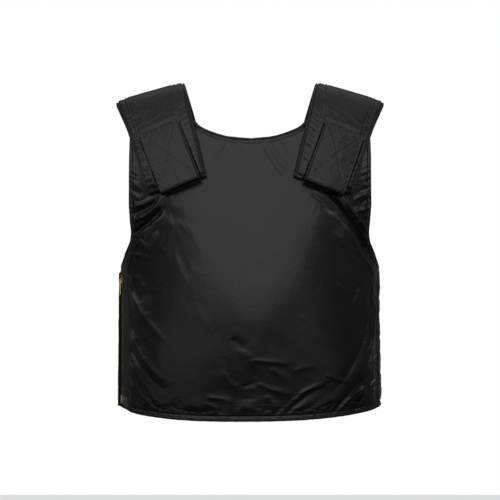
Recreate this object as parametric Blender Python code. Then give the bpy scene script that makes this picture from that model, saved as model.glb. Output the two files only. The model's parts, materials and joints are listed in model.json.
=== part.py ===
"""A stab vest: padded front and back, two wide shoulder straps with stitched tabs, and a brass
zip on the wearer's right side. Metres, +Z up, the front faces -Y, the wearer's left is +X. The
origin lies midway between the two places where the straps sit on the shoulders."""

import math

import bmesh
import bpy
import numpy as np

# Body form: a rounded section that changes with height, under two sloping shoulder arches
SECTION_POWER = 2.4
FRONT_DEPTH = 0.130
FRONT_HEM_DEPTH = 0.122
FRONT_ARCH_DROP = 0.33
BACK_DEPTH = 0.112
BACK_HEM_DEPTH = 0.106
BACK_ARCH_DROP = 0.17
ARCH_TO_HEM = 0.47
SHOULDER_ANGLE = math.radians(16.0)
CREST_X = 0.1439
CREST_Z = -0.0008
CREST_ROUNDING = 0.06
BODY_HALF_WIDTH = [  # height, half width
    (-0.475, 0.1932),
    (-0.400, 0.1917),
    (-0.330, 0.1906),
    (-0.254, 0.1898),
    (-0.220, 0.1935),
    (-0.190, 0.2000),
    (-0.140, 0.2120),
    (-0.080, 0.2250),
    (0.040, 0.2350),
]

# Panels
PANEL_THICKNESS = 0.009
PANEL_EDGE_THICKNESS = 0.0036
PANEL_EDGE_INSET = 0.0016
PANEL_EDGE_SLOPE = 0.022
SHOULDER_EDGE_DROP = 0.032
UNDERARM_Z = -0.254
UNDERARM_CROWDING = 1.5
ZIP_TOP_Z = -0.260
HEM_SIDE_Z = -0.4453
HEM_FRONT_DROP = 0.0160
HEM_BACK_DROP = 0.0080
HEM_CURVE = 1.6
FRONT_NECKLINE = [  # distance from the middle, height
    (0.000, -0.0646),
    (0.030, -0.0617),
    (0.055, -0.0545),
    (0.079, -0.0420),
    (0.088, -0.0300),
    (0.097, -0.0170),
]
BACK_NECKLINE = [  # distance from the middle, height
    (0.000, -0.0560),
    (0.030, -0.0535),
    (0.055, -0.0470),
    (0.078, -0.0355),
    (0.087, -0.0265),
    (0.096, -0.0160),
]
FRONT_ARMHOLE = [  # height, distance of the edge from the middle
    (-0.2540, 0.1876),
    (-0.2423, 0.1862),
    (-0.2307, 0.1832),
    (-0.2191, 0.1784),
    (-0.2077, 0.1738),
    (-0.1950, 0.1724),
    (-0.1800, 0.1735),
    (-0.1500, 0.1749),
    (-0.0900, 0.1749),
    (-0.0300, 0.1735),
]
BACK_ARMHOLE = [  # height, angle of the edge from the front middle, in degrees
    (-0.2460, 88.0),
    (-0.2370, 98.0),
    (-0.2250, 108.5),
    (-0.2100, 117.0),
    (-0.1850, 124.0),
    (-0.1500, 128.0),
    (-0.1000, 132.3),
    (-0.0300, 135.5),
]
SEAM_LINE = [  # height, distance of the wearer's left side seam from the middle
    (-0.475, 0.1850),
    (-0.310, 0.1846),
    (-0.275, 0.1858),
    (-0.254, 0.1876),
]
SEAM_WIDTH = 0.005
SEAM_THICKNESS = 0.003
SEAM_GAP = 0.0007
GAP = 0.0004

# Folds of the front cover, in millimetres: both ends, sideways bow, half width, height
FRONT_FOLDS = [
    ("arm_r_ridge_upper", -170, -163, -128, -147, -3, 9, 3.5),
    ("arm_r_ridge_lower", -170, -185, -110, -148, -5, 10, 4.5),
    ("arm_r_valley", -164, -201, -122, -160, 3, 10, -4.5),
    ("arm_r_ridge_third", -156, -212, -116, -170, 4, 10, 3.0),
    ("arm_r_crease", -172, -228, -136, -233, 3, 9, 2.0),
    ("arm_l_ridge", 124, -143, 170, -200, 4, 9, 4.5),
    ("arm_l_valley", 124, -153, 182, -240, 5, 12, -5.5),
    ("arm_l_soft", 118, -158, 144, -190, 0, 10, 2.5),
    ("arm_l_thin", 144, -214, 174, -264, 4, 9, 2.5),
    ("neck_r", -28, -66, -56, -98, 3, 9, 2.0),
    ("neck_middle", -16, -66, 0, -102, -3, 8, -2.0),
    ("neck_l_long", 17, -66, 64, -130, -3, 9, -2.5),
    ("neck_l_short", 39, -63, 54, -92, 0, 8, 2.0),
    ("low_r_upper", -174, -268, -118, -348, -8, 12, 4.0),
    ("low_r_middle", -174, -322, -122, -406, -7, 10, 3.0),
    ("low_r_inner", -174, -345, -116, -424, -8, 9, -3.0),
    ("low_r_hem", -174, -395, -143, -443, -4, 10, 3.0),
    ("low_l_valley_inner", 50, -452, 122, -407, 4, 10, -3.5),
    ("low_l_streak", 60, -432, 120, -398, 3, 9, 3.0),
    ("low_l_valley_outer", 118, -456, 168, -402, 3, 11, -4.0),
    ("low_l_long", 172, -280, 116, -424, 14, 11, -3.5),
    ("low_l_ridge", 182, -296, 158, -390, 4, 9, 3.0),
    ("mid_ridge", 8, -377, 62, -379, 0, 9, 2.0),
    ("mid_crinkle", 2, -374, 8, -412, 0, 8, -2.0),
]

# Shoulder straps: measured along the strap from its crest, and across it from its middle
STRAP_THICKNESS = 0.009
STRAP_LIFT = 0.0007
STRAP_FRONT_LENGTH = 0.137
STRAP_BACK_LENGTH = 0.078
STRAP_EDGES = [  # distance along, half width on the neck side, half width on the arm side
    (-0.078, 0.0520, 0.0470),
    (-0.030, 0.0526, 0.0490),
    (0.000, 0.0526, 0.0525),
    (0.009, 0.0524, 0.0490),
    (0.043, 0.0510, 0.0438),
    (0.137, 0.0472, 0.0398),
]
STRAP_END_TAPER = 0.010
STRAP_SECTION = [  # place across (1 is the edge), share of the full thickness
    (0.00, 1.00),
    (0.40, 1.00),
    (0.68, 0.98),
    (0.79, 0.60),
    (0.90, 0.78),
    (1.00, 0.45),
]
STRAP_GATHER_HEIGHT = 0.0005
STRAP_CLEARANCE = 0.008

# Tabs on the straps: middle along and across the strap, and turn, for each side
TAB_LENGTH = 0.0875
TAB_WIDTH = 0.0560
TAB_THICKNESS = 0.0045
TAB_END_THICKNESS = 0.0085
TAB_END_LENGTH = 0.008
TAB_PLACES = {"r": (0.0960, -0.0050, 6.0), "l": (0.0965, 0.0010, 5.0)}

# Bound edges
BINDING_HALF_HEIGHT = 0.0018
BINDING_HALF_DEPTH = 0.0025
NECK_BINDING_REACH = 0.088

# Zip on the wearer's right side
CHAIN_X = 0.1870
PANEL_EDGE_X = 0.1780
TAPE_REACH = 0.0195
TAPE_INSET = 0.0022
TAPE_THICKNESS = 0.0012
TAPE_TOP_Z = -0.2604
TAPE_BOTTOM_Z = -0.4445
CHAIN_WIDTH = 0.0052
CHAIN_THICKNESS = 0.0024
CHAIN_NECK = 0.62
TOOTH_PITCH = 0.0030
SLIDER_Z = -0.2635
SLIDER_LENGTH = 0.0132
SLIDER_TOP_WIDTH = 0.0096
SLIDER_LOW_WIDTH = 0.0076
PLATE_THICKNESS = 0.0013
PLATE_CLEARANCE = 0.0004
LIP_WIDTH = 0.0007
TAPE_SLOT = 0.0009
POST_LENGTH = 0.0036
POST_WIDTH = 0.0032
BAIL_RADIUS = 0.0031
BAIL_SHIFT = -0.0033
BAIL_SINK = 0.0004
BAIL_WIRE = 0.0011
BAIL_WIDTH = 0.0016
PULL_LENGTH = 0.0225
PULL_WIDTH = 0.0062
PULL_THICKNESS = 0.0012
PULL_BAR = 0.0012
PULL_HOLE = 0.0011
BOX_TOP_Z = -0.4322
BOX_BOTTOM_Z = -0.4440
BOX_TOP_WIDTH = 0.0080
BOX_LOW_WIDTH = 0.0104

# Colours (red, green, blue), roughness, metallic
FINISHES = {
    "black_nylon": ((0.016, 0.016, 0.018), 0.42, 0.0),
    "black_webbing": ((0.013, 0.013, 0.015), 0.60, 0.0),
    "brass": ((0.62, 0.42, 0.20), 0.30, 1.0),
}


def clear_scene():
    for obj in list(bpy.data.objects):
        bpy.data.objects.remove(obj, do_unlink=True)


def finish(name):
    """The material of that name, made once."""
    material = bpy.data.materials.get(name)
    if material is None:
        colour, roughness, metallic = FINISHES[name]
        material = bpy.data.materials.new(name)
        material.use_nodes = True
        shader = material.node_tree.nodes["Principled BSDF"]
        shader.inputs["Base Color"].default_value = (*colour, 1.0)
        shader.inputs["Roughness"].default_value = roughness
        shader.inputs["Metallic"].default_value = metallic
    return material


def add_mesh(name, points, faces, finish_name, smooth=True):
    """An object with that mesh, its faces turned outwards."""
    mesh = bpy.data.meshes.new(name)
    mesh.from_pydata([tuple(p) for p in points], [], faces)
    work = bmesh.new()
    work.from_mesh(mesh)
    bmesh.ops.recalc_face_normals(work, faces=work.faces)
    work.to_mesh(mesh)
    work.free()
    if smooth:
        mesh.shade_smooth()
        mesh.set_sharp_from_angle(angle=math.radians(40))
    obj = bpy.data.objects.new(name, mesh)
    bpy.context.scene.collection.objects.link(obj)
    own = finish(finish_name).copy()
    own.name = name
    mesh.materials.append(own)
    return obj


def smoothstep(value):
    t = np.clip(value, 0.0, 1.0)
    return t * t * (3.0 - 2.0 * t)


def curve_through(rows):
    """A smooth function through a table's two columns, without overshoot."""
    at = np.array([row[0] for row in rows])
    values = np.array([row[1] for row in rows])
    step = np.diff(at)
    slope = np.diff(values) / step
    tangent = np.empty_like(values)
    tangent[0] = slope[0]
    tangent[-1] = slope[-1]
    for k in range(1, len(rows) - 1):
        if slope[k - 1] * slope[k] <= 0.0:
            tangent[k] = 0.0
        else:
            tangent[k] = 2.0 * slope[k - 1] * slope[k] / (slope[k - 1] + slope[k])

    def curve(x):
        x = np.clip(x, at[0], at[-1])
        k = np.clip(np.searchsorted(at, x) - 1, 0, len(step) - 1)
        t = (x - at[k]) / step[k]
        keep = (1.0 + 2.0 * t) * (1.0 - t) ** 2 * values[k] + t * t * (3.0 - 2.0 * t) * values[k + 1]
        turn = t * (1.0 - t) ** 2 * tangent[k] - t * t * (1.0 - t) * tangent[k + 1]
        return keep + turn * step[k]

    return curve


half_width = curve_through(BODY_HALF_WIDTH)
front_armhole = curve_through(FRONT_ARMHOLE)
back_armhole = curve_through(BACK_ARMHOLE)
front_neckline = curve_through(FRONT_NECKLINE)
back_neckline = curve_through(BACK_NECKLINE)
seam_line = curve_through(SEAM_LINE)
strap_section = curve_through(STRAP_SECTION)
strap_neck_side = curve_through([row[:2] for row in STRAP_EDGES])
strap_arm_side = curve_through([row[::2] for row in STRAP_EDGES])


def crest_height(x):
    """Height of the shoulder line at a distance from the middle."""
    x = np.abs(x)
    run = np.where(x < CREST_ROUNDING, CREST_ROUNDING / 2 + x * x / (2 * CREST_ROUNDING), x)
    return CREST_Z - math.tan(SHOULDER_ANGLE) * (run - CREST_X)


def arch_depth(drop, back):
    """Depth of the form in its middle, at a drop below the shoulder line."""
    depth = np.where(back, BACK_DEPTH, FRONT_DEPTH)
    hem = np.where(back, BACK_HEM_DEPTH, FRONT_HEM_DEPTH)
    arch = np.where(back, BACK_ARCH_DROP, FRONT_ARCH_DROP)
    rise = 1.0 - np.clip(drop / arch, 0.0, 1.0)
    ease = smoothstep((drop - arch) / (ARCH_TO_HEM - arch))
    return depth * np.sqrt(1.0 - rise * rise) + (hem - depth) * ease


def form_point(angle, z):
    """A point of the body form: the angle is 0 at the front middle and grows to the wearer's left."""
    angle = np.asarray(angle, float)
    z = np.asarray(z, float)
    sine = np.sin(angle)
    cosine = np.cos(angle)
    x = half_width(z) * np.sign(sine) * np.abs(sine) ** (2.0 / SECTION_POWER)
    depth = arch_depth(crest_height(x) - z, cosine < 0.0)
    y = -np.sign(cosine) * depth * np.abs(cosine) ** (2.0 / SECTION_POWER)
    return np.stack([x, y, z + 0.0 * x], axis=-1)


def angle_at_x(x, z):
    """The front angle where the form reaches a distance x from the middle."""
    return np.arcsin(np.clip(x / half_width(z), 0.0, 1.0) ** (SECTION_POWER / 2.0))


def angle_at_y(y, z):
    """The angle near the side where the form reaches y, at the height z."""
    depth = np.maximum(arch_depth(crest_height(half_width(z)) - z, y > 0.0), 0.02)
    cosine = np.clip(np.abs(y) / depth, 0.0, 1.0) ** (SECTION_POWER / 2.0)
    return np.where(y > 0.0, np.pi - np.arccos(cosine), np.arccos(cosine))


def beside(angle, z, distance):
    """The angle that lies a distance behind another one, near the side."""
    y = form_point(angle, z)[..., 1]
    return angle_at_y(y + distance, z)


def form_frame(angle, z):
    """Point, outward normal, sideways and upward directions of the form."""
    small = 1e-4
    sideways = form_point(angle + small, z) - form_point(angle - small, z)
    upward = form_point(angle, z + small) - form_point(angle, z - small)
    sideways /= np.linalg.norm(sideways, axis=-1, keepdims=True)
    normal = np.cross(sideways, upward)
    normal /= np.linalg.norm(normal, axis=-1, keepdims=True)
    return form_point(angle, z), normal, sideways, np.cross(normal, sideways)


def hem_height(angle):
    cosine = np.cos(angle)
    drop = np.where(cosine > 0.0, HEM_FRONT_DROP, HEM_BACK_DROP)
    return HEM_SIDE_Z - drop * np.abs(cosine) ** HEM_CURVE


def top_height(x, neckline, reach):
    """Height of a panel's upper edge: the neckline, then the shoulder edge."""
    x = np.abs(x)
    neck = np.where(x < reach, neckline(x), 1.0)
    return np.minimum(neck, crest_height(x) - SHOULDER_EDGE_DROP)


def chain_angle(z):
    return angle_at_x(CHAIN_X, z)


def seam_angle(z):
    return angle_at_x(seam_line(z), z)


def front_edges(z, above):
    """Angles of the front panel's two edges at a height."""
    armhole = angle_at_x(front_armhole(z), z)
    right = np.where(above, armhole, angle_at_x(PANEL_EDGE_X, z))
    left = np.where(above, armhole, seam_angle(z))
    corner = np.isclose(z, UNDERARM_Z, atol=1e-5)
    right = np.where(corner, beside(chain_angle(z), z, -GAP), right)
    return -right, left


def back_edges(z, above):
    """Angles of the back panel's two edges, from the wearer's left round to the right."""
    armhole = np.radians(back_armhole(z))
    left = np.where(above, armhole, beside(seam_angle(z), z, SEAM_WIDTH + 2 * SEAM_GAP))
    right = np.where(above, armhole, beside(chain_angle(z), z, TAPE_REACH))
    corner = np.isclose(z, UNDERARM_Z, atol=1e-5)
    left = np.where(corner, beside(seam_angle(z), z, SEAM_WIDTH + 2 * SEAM_GAP), left)
    right = np.where(corner, beside(chain_angle(z), z, GAP), right)
    return left, 2.0 * np.pi - right


def panel_grid(edges, top, rows_below, rows_above, columns):
    """Angles and heights of a panel's grid, from hem to top and edge to edge."""
    across = np.linspace(0.0, 1.0, columns + 1)
    low, high = edges(np.array([HEM_SIDE_Z]), np.array([False]))
    hem = hem_height(low + across * (high - low))
    summit = np.full_like(across, -0.05)
    for _ in range(12):
        low, high = edges(summit, np.full(summit.shape, True))
        angle = low + across * (high - low)
        summit = top(form_point(angle, summit)[:, 0])
    rows = []
    for k in range(rows_below + 1):
        share = k / rows_below
        rows.append((hem + share * (ZIP_TOP_Z - hem), False))
    for k in range(rows_above + 1):
        share = (k / rows_above) ** UNDERARM_CROWDING
        rows.append((UNDERARM_Z + share * (summit - UNDERARM_Z), True))
    heights = np.array([row[0] for row in rows])
    above = np.array([np.full(across.shape, row[1]) for row in rows])
    low, high = edges(heights, above)
    return low + across * (high - low), heights


def edge_distance(points):
    """Distance of each grid point to the nearest edge of its grid, along the grid's lines."""
    rows = np.linalg.norm(np.diff(points, axis=0), axis=-1)
    columns = np.linalg.norm(np.diff(points, axis=1), axis=-1)
    up = np.vstack([np.zeros(points.shape[1]), np.cumsum(rows, axis=0)])
    along = np.hstack([np.zeros((points.shape[0], 1)), np.cumsum(columns, axis=1)])
    return np.minimum(np.minimum(up, up[-1] - up), np.minimum(along, along[:, -1:] - along))


def fold_relief(points):
    """How far the folds lift each point of the front cover."""
    x = points[..., 0]
    z = points[..., 2]
    relief = np.zeros_like(x)
    for _name, x0, z0, x1, z1, bow, reach, height in FRONT_FOLDS:
        start = np.array([x0, z0]) / 1000.0
        run = np.array([x1, z1]) / 1000.0 - start
        length = np.hypot(*run)
        ahead = run / length
        along = ((x - start[0]) * ahead[0] + (z - start[1]) * ahead[1]) / length
        aside = (z - start[1]) * ahead[0] - (x - start[0]) * ahead[1]
        aside = aside - 4.0 * bow / 1000.0 * along * (1.0 - along)
        bump = np.clip(1.0 - (aside / (reach / 1000.0)) ** 2, 0.0, 1.0) ** 2
        ends = smoothstep(along / 0.2 + 0.5) * smoothstep((1.0 - along) / 0.3 + 0.3)
        ends = np.where((along > -0.1) & (along < 1.1), ends, 0.0)
        relief += height / 1000.0 * bump * ends
    return relief


def strap_place(x, z):
    """Distance along and across the strap that lies over a point of the front view."""
    run = np.abs(x) - CREST_X
    fall = z - CREST_Z
    across = run * math.cos(SHOULDER_ANGLE) - fall * math.sin(SHOULDER_ANGLE)
    along = -run * math.sin(SHOULDER_ANGLE) - fall * math.cos(SHOULDER_ANGLE)
    return along, across


def clear_of_straps(points):
    """1 away from the straps, 0 under them."""
    along, across = strap_place(points[..., 0], points[..., 2])
    aside = np.abs(across) - strap_half_width(along, across)
    beyond = np.maximum(along - STRAP_FRONT_LENGTH, aside)
    return smoothstep((beyond - STRAP_CLEARANCE) / STRAP_CLEARANCE)


def panel(name, edges, top, counts, relief=None):
    """A padded panel: a full grid outside and every second point of it inside."""
    angle, z = panel_grid(edges, top, *counts)
    points, normal, _sideways, _upward = form_frame(angle, z)
    fullness = smoothstep(edge_distance(points) / PANEL_EDGE_SLOPE)
    inset = PANEL_EDGE_INSET * (1.0 - fullness)
    thickness = PANEL_EDGE_THICKNESS + (PANEL_THICKNESS - PANEL_EDGE_THICKNESS) * fullness
    lift = 0.0 * inset if relief is None else relief(points) * (0.35 + 0.65 * fullness)
    if relief is not None:
        clear = clear_of_straps(points)
        lift = np.minimum(lift, 0.0) + np.maximum(lift, 0.0) * clear
    outer = points + normal * (lift - inset)[..., None]
    inner = points - normal * (inset + thickness + np.maximum(-lift - 0.002, 0.0))[..., None]
    add_mesh(name, *shell(outer, inner[::2, ::2]), "black_nylon")
    return angle, z


def shell(outer, inner):
    """Points and faces of a closed wall whose inner grid has half the steps of the outer one."""
    rows, columns = outer.shape[:2]
    low_rows, low_columns = inner.shape[:2]
    count = rows * columns
    faces = grid_faces(rows, columns, 0) + grid_faces(low_rows, low_columns, count)
    fine = border(rows, columns, 0)
    coarse = border(low_rows, low_columns, count)
    ratio = len(fine) // len(coarse)
    for k, corner in enumerate(coarse):
        following = coarse[(k + 1) % len(coarse)]
        steps = [fine[(k * ratio + j) % len(fine)] for j in range(ratio + 1)]
        if ratio == 1:
            faces.append((steps[0], steps[1], following, corner))
        else:
            faces.append((steps[0], steps[1], corner))
            faces.append((steps[1], steps[2], following))
            faces.append((steps[1], following, corner))
    return np.vstack([outer.reshape(-1, 3), inner.reshape(-1, 3)]), faces


def grid_faces(rows, columns, first):
    faces = []
    for i in range(rows - 1):
        for j in range(columns - 1):
            at = first + i * columns + j
            faces.append((at, at + 1, at + columns + 1, at + columns))
    return faces


def border(rows, columns, first):
    """Indices round a grid's edge, once."""
    edge = [first + j for j in range(columns - 1)]
    edge += [first + i * columns + columns - 1 for i in range(rows - 1)]
    edge += [first + (rows - 1) * columns + j for j in range(columns - 1, 0, -1)]
    edge += [first + i * columns for i in range(rows - 1, 0, -1)]
    return edge


def strap_half_width(along, place):
    return np.where(place < 0.0, strap_neck_side(along), strap_arm_side(along))


def arch_angle(along):
    """Angle round the shoulder arch at a distance along the strap, below 0 behind the crest."""
    drop = np.abs(along) / math.cos(SHOULDER_ANGLE)
    arch = np.where(along < 0.0, BACK_ARCH_DROP, FRONT_ARCH_DROP)
    return np.sign(along) * np.arccos(1.0 - np.clip(drop / arch, 0.0, 0.98))


def strap_seat(side, turn, across):
    """A point of the form under a strap, from its angle round the arch and its place across."""
    back = turn < 0.0
    drop = np.where(back, BACK_ARCH_DROP, FRONT_ARCH_DROP) * (1.0 - np.cos(turn))
    along = drop * math.cos(SHOULDER_ANGLE)
    x = CREST_X + across * math.cos(SHOULDER_ANGLE) - along * math.sin(SHOULDER_ANGLE)
    z = CREST_Z - across * math.sin(SHOULDER_ANGLE) - along * math.cos(SHOULDER_ANGLE)
    narrow = np.clip(1.0 - (x / half_width(z)) ** SECTION_POWER, 0.0, 1.0) ** (1.0 / SECTION_POWER)
    y = -np.where(back, BACK_DEPTH, FRONT_DEPTH) * np.sin(turn) * narrow
    return np.stack([side * x, y, z], axis=-1)


def strap_raised(side, turn, across, lift):
    """The same point, lifted off the form."""
    small = 1e-4
    down = strap_seat(side, turn + small, across) - strap_seat(side, turn - small, across)
    out = strap_seat(side, turn, across + small) - strap_seat(side, turn, across - small)
    normal = side * np.cross(down, out)
    normal /= np.linalg.norm(normal, axis=-1, keepdims=True)
    return strap_seat(side, turn, across) + normal * np.asarray(lift)[..., None]


def shoulder_strap(tag, side):
    """A padded strap from the back panel over the shoulder to the front panel."""
    front = arch_angle(np.array(STRAP_FRONT_LENGTH)) * np.linspace(0.0, 1.0, 17)
    back = arch_angle(np.array(-STRAP_BACK_LENGTH)) * np.linspace(1.0, 0.0, 10)[:-1]
    turn = np.concatenate([back, front])
    place = np.array([-1.0, -0.9, -0.79, -0.66, -0.35, 0.0, 0.35, 0.66, 0.79, 0.9, 1.0])
    turn, place = np.meshgrid(turn, place, indexing="ij")
    arch = np.where(turn < 0.0, BACK_ARCH_DROP, FRONT_ARCH_DROP)
    along = np.sign(turn) * arch * (1.0 - np.cos(turn)) * math.cos(SHOULDER_ANGLE)
    across = place * strap_half_width(along, place)
    to_end = np.minimum(STRAP_FRONT_LENGTH - along, along + STRAP_BACK_LENGTH)
    taper = 0.55 + 0.45 * smoothstep(to_end / STRAP_END_TAPER)
    gather = STRAP_GATHER_HEIGHT * (-1.0) ** np.arange(turn.shape[0])[:, None]
    band = np.isclose(np.abs(place), 0.9)
    height = STRAP_THICKNESS * strap_section(np.abs(place)) * taper + gather * band
    under = strap_raised(side, turn, across, STRAP_LIFT + 0.0 * turn)
    over = strap_raised(side, turn, across, STRAP_LIFT + height)
    return add_mesh("shoulder_strap_" + tag, *shell(over, under), "black_nylon")


def strap_tab(tag, side):
    """A narrower tab on the strap, with a thick folded lower end."""
    middle, offset, turned = TAB_PLACES[tag]
    length = np.array([-0.5, -0.34, -0.18, -0.02, 0.14, 0.28, 0.40, 0.415, 0.47, 0.5]) * TAB_LENGTH
    length = np.append(length[:-1], [0.5 * TAB_LENGTH, 0.5 * TAB_LENGTH + 0.004])
    width = np.linspace(-0.5, 0.5, 7) * TAB_WIDTH
    length, width = np.meshgrid(length, width, indexing="ij")
    angle = math.radians(turned)
    along = middle + length * math.cos(angle) + width * math.sin(angle)
    across = offset - length * math.sin(angle) + width * math.cos(angle)
    from_end = 0.5 * TAB_LENGTH + 0.004 - length
    fold = smoothstep((TAB_END_LENGTH + 0.003 - from_end) / 0.003)
    nose = 1.0 - 0.45 * smoothstep((0.003 - from_end) / 0.003)
    edge = np.isclose(np.abs(width), 0.5 * TAB_WIDTH) | (length < -0.499 * TAB_LENGTH)
    thickness = TAB_THICKNESS + (TAB_END_THICKNESS - TAB_THICKNESS) * fold * nose
    thickness = np.where(edge, 0.8 * thickness, thickness)
    base = STRAP_LIFT + STRAP_THICKNESS + STRAP_LIFT
    turn = arch_angle(along)
    under = strap_raised(side, turn, across, base + 0.0 * turn)
    over = strap_raised(side, turn, across, base + thickness)
    return add_mesh("strap_tab_" + tag, *shell(over, under), "black_nylon")


def sweep(name, centres, ring, finish_name):
    """A closed bar through a list of rings, each given by its centre and two directions."""
    points = []
    for centre, first, second in centres:
        points += [centre + first * a + second * b for a, b in ring]
    size = len(ring)
    faces = []
    for i in range(len(centres) - 1):
        for j in range(size):
            k = (j + 1) % size
            at = i * size
            faces.append((at + j, at + k, at + size + k, at + size + j))
    faces.append(tuple(range(size)))
    faces.append(tuple((len(centres) - 1) * size + j for j in range(size)))
    return add_mesh(name, points, faces, finish_name)


def binding_ring():
    """Six-sided section of a binding: half depth and half height."""
    turns = [math.radians(60 * k) for k in range(6)]
    return [(BINDING_HALF_DEPTH * math.cos(t), BINDING_HALF_HEIGHT * math.sin(t)) for t in turns]


def edge_binding(name, angle, z, direction):
    """A binding along a panel's edge points, on their upper (1) or lower (-1) side."""
    depth = PANEL_EDGE_INSET + 0.5 * PANEL_EDGE_THICKNESS
    points, normal, _sideways, _upward = form_frame(angle, z)
    points = points - normal * depth
    run = np.gradient(points, axis=0)
    run /= np.linalg.norm(run, axis=-1, keepdims=True)
    up = np.cross(normal, run)
    centres = points + up * direction * (BINDING_HALF_HEIGHT + GAP)
    return sweep(name, list(zip(centres, normal, up)), binding_ring(), "black_nylon")


def panel_bindings(side, angle, z):
    """The bindings of one panel's hem and neckline, from its grid."""
    edge_binding("hem_binding_" + side, angle[0], z[0], -1.0)
    reach = np.abs(form_point(angle[-1], z[-1])[:, 0]) <= NECK_BINDING_REACH
    reach &= np.arange(angle.shape[1]) % 2 == 0
    edge_binding("neck_binding_" + side, angle[-1][reach], z[-1][reach], 1.0)


def wall_between(name, first, last, heights, inset, thickness, columns, finish_name):
    """A flat strip on the form between two lines of angles."""
    share = np.linspace(0.0, 1.0, columns + 1)
    angle = first(heights)[:, None] + share * (last(heights) - first(heights))[:, None]
    z = heights[:, None] + 0.0 * angle
    points, normal, _sideways, _upward = form_frame(angle, z)
    outer = points - normal * inset
    inner = points - normal * (inset + thickness)
    return add_mesh(name, *shell(outer, inner), finish_name)


def zip_tapes():
    heights = np.linspace(TAPE_BOTTOM_Z, TAPE_TOP_Z, 21)
    spare = CHAIN_WIDTH / 2 + GAP
    level = TAPE_INSET - TAPE_THICKNESS / 2

    def front_outer(z):
        return -beside(angle_at_x(PANEL_EDGE_X, z), z, GAP)

    def front_inner(z):
        return -beside(chain_angle(z), z, -spare)

    def back_inner(z):
        return -beside(chain_angle(z), z, spare)

    def back_outer(z):
        return -beside(chain_angle(z), z, TAPE_REACH - GAP)

    for name, first, last in (
        ("zip_tape_front", front_outer, front_inner),
        ("zip_tape_back", back_inner, back_outer),
    ):
        wall_between(name, first, last, heights, level, TAPE_THICKNESS, 3, "black_webbing")


def side_seam():
    heights = np.linspace(HEM_SIDE_Z, UNDERARM_Z, 21)

    def first(z):
        return beside(seam_angle(z), z, SEAM_GAP)

    def last(z):
        return beside(seam_angle(z), z, SEAM_WIDTH + SEAM_GAP)

    inset = PANEL_EDGE_INSET - 0.0003
    wall_between("side_seam", first, last, heights, inset, SEAM_THICKNESS, 1, "black_nylon")


def zip_middle(z):
    """Middle of the closed chain at a height, and the form's outward normal there."""
    point, normal, _sideways, _upward = form_frame(-chain_angle(np.array(z)), np.array(z))
    return point - normal * TAPE_INSET, normal


def zip_frame(z):
    """Middle of the closed chain, with its normal, sideways and upward directions."""
    centre, normal = zip_middle(z)
    small = 1e-3
    upward = zip_middle(z + small)[0] - zip_middle(z - small)[0]
    upward /= np.linalg.norm(upward)
    sideways = np.cross(upward, normal)
    sideways /= np.linalg.norm(sideways)
    return centre, np.cross(sideways, upward), sideways, upward


def zip_chain(top, bottom):
    """The closed teeth: a bar that is wide at each tooth and narrow between two."""
    teeth = int((top - bottom) / TOOTH_PITCH)
    points = []
    for tooth in range(teeth):
        for place, wide in ((0.10, 1.0), (0.60, 1.0), (0.85, CHAIN_NECK)):
            centre, normal, sideways, _upward = zip_frame(top - (tooth + place) * TOOTH_PITCH)
            for a, b in ((-1, -1), (1, -1), (1, 1), (-1, 1)):
                side = a * 0.5 * CHAIN_WIDTH * wide
                front = b * 0.5 * CHAIN_THICKNESS * wide
                points.append(centre + sideways * side + normal * front)
    rings = len(points) // 4
    faces = [(0, 1, 2, 3), tuple(4 * (rings - 1) + j for j in (3, 2, 1, 0))]
    for i in range(rings - 1):
        for j in range(4):
            k = (j + 1) % 4
            faces.append((4 * i + j, 4 * i + k, 4 * i + 4 + k, 4 * i + 4 + j))
    return add_mesh("zip_chain", points, faces, "brass", smooth=False)


def prism(name, outline, low, high, axis=2):
    """A helper solid: an outline drawn across one axis and given a thickness along it."""
    points = []
    for level in (low, high):
        for a, b in outline:
            point = [a, b]
            point.insert(axis, level)
            points.append(point)
    size = len(outline)
    faces = [tuple(range(size)), tuple(range(size, 2 * size))]
    for j in range(size):
        k = (j + 1) % size
        faces.append((j, k, size + k, size + j))
    obj = add_mesh(name, points, faces, "brass", smooth=False)
    obj.hide_render = True
    obj.display_type = "WIRE"
    return obj


def combine(name, base, others, operation):
    """One solid from a base and its helpers, which are removed."""
    for k, other in enumerate(others):
        modifier = base.modifiers.new(f"{operation.lower()}_{k}", "BOOLEAN")
        modifier.operation = operation
        modifier.object = other
    graph = bpy.context.evaluated_depsgraph_get()
    mesh = bpy.data.meshes.new_from_object(base.evaluated_get(graph))
    mesh.name = name
    for helper in [base] + others:
        bpy.data.objects.remove(helper, do_unlink=True)
    obj = bpy.data.objects.new(name, mesh)
    bpy.context.scene.collection.objects.link(obj)
    mesh.materials.clear()
    own = finish("brass").copy()
    own.name = name
    mesh.materials.append(own)
    return obj


def place_on_zip(obj, z, lift=0.0):
    """Turns a piece drawn flat (x sideways, y up the zip, z outwards) onto the zip."""
    centre, normal, sideways, upward = zip_frame(z)
    matrix = obj.matrix_world.copy()
    matrix.identity()
    for row in range(3):
        for column, direction in enumerate((sideways, upward, normal)):
            matrix[row][column] = direction[row]
        matrix[row][3] = centre[row] + normal[row] * lift
    obj.matrix_world = matrix


def rectangle(x0, x1, y0, y1):
    return [(x0, y0), (x1, y0), (x1, y1), (x0, y1)]


def bail_outline(level):
    """A half ring that stands on the slider's plate, as (along, height)."""
    turns = [math.pi * k / 10 for k in range(11)]
    outer = [(BAIL_RADIUS * math.cos(t), level + BAIL_RADIUS * math.sin(t)) for t in turns]
    inside = BAIL_RADIUS - BAIL_WIRE
    inner = [(inside * math.cos(t), level + inside * math.sin(t)) for t in reversed(turns)]
    foot = level - BAIL_SINK
    ring = [(BAIL_RADIUS, foot)] + outer + [(-BAIL_RADIUS, foot), (-inside, foot)]
    ring += inner + [(inside, foot)]
    return [(BAIL_SHIFT + along, height) for along, height in ring]


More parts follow.
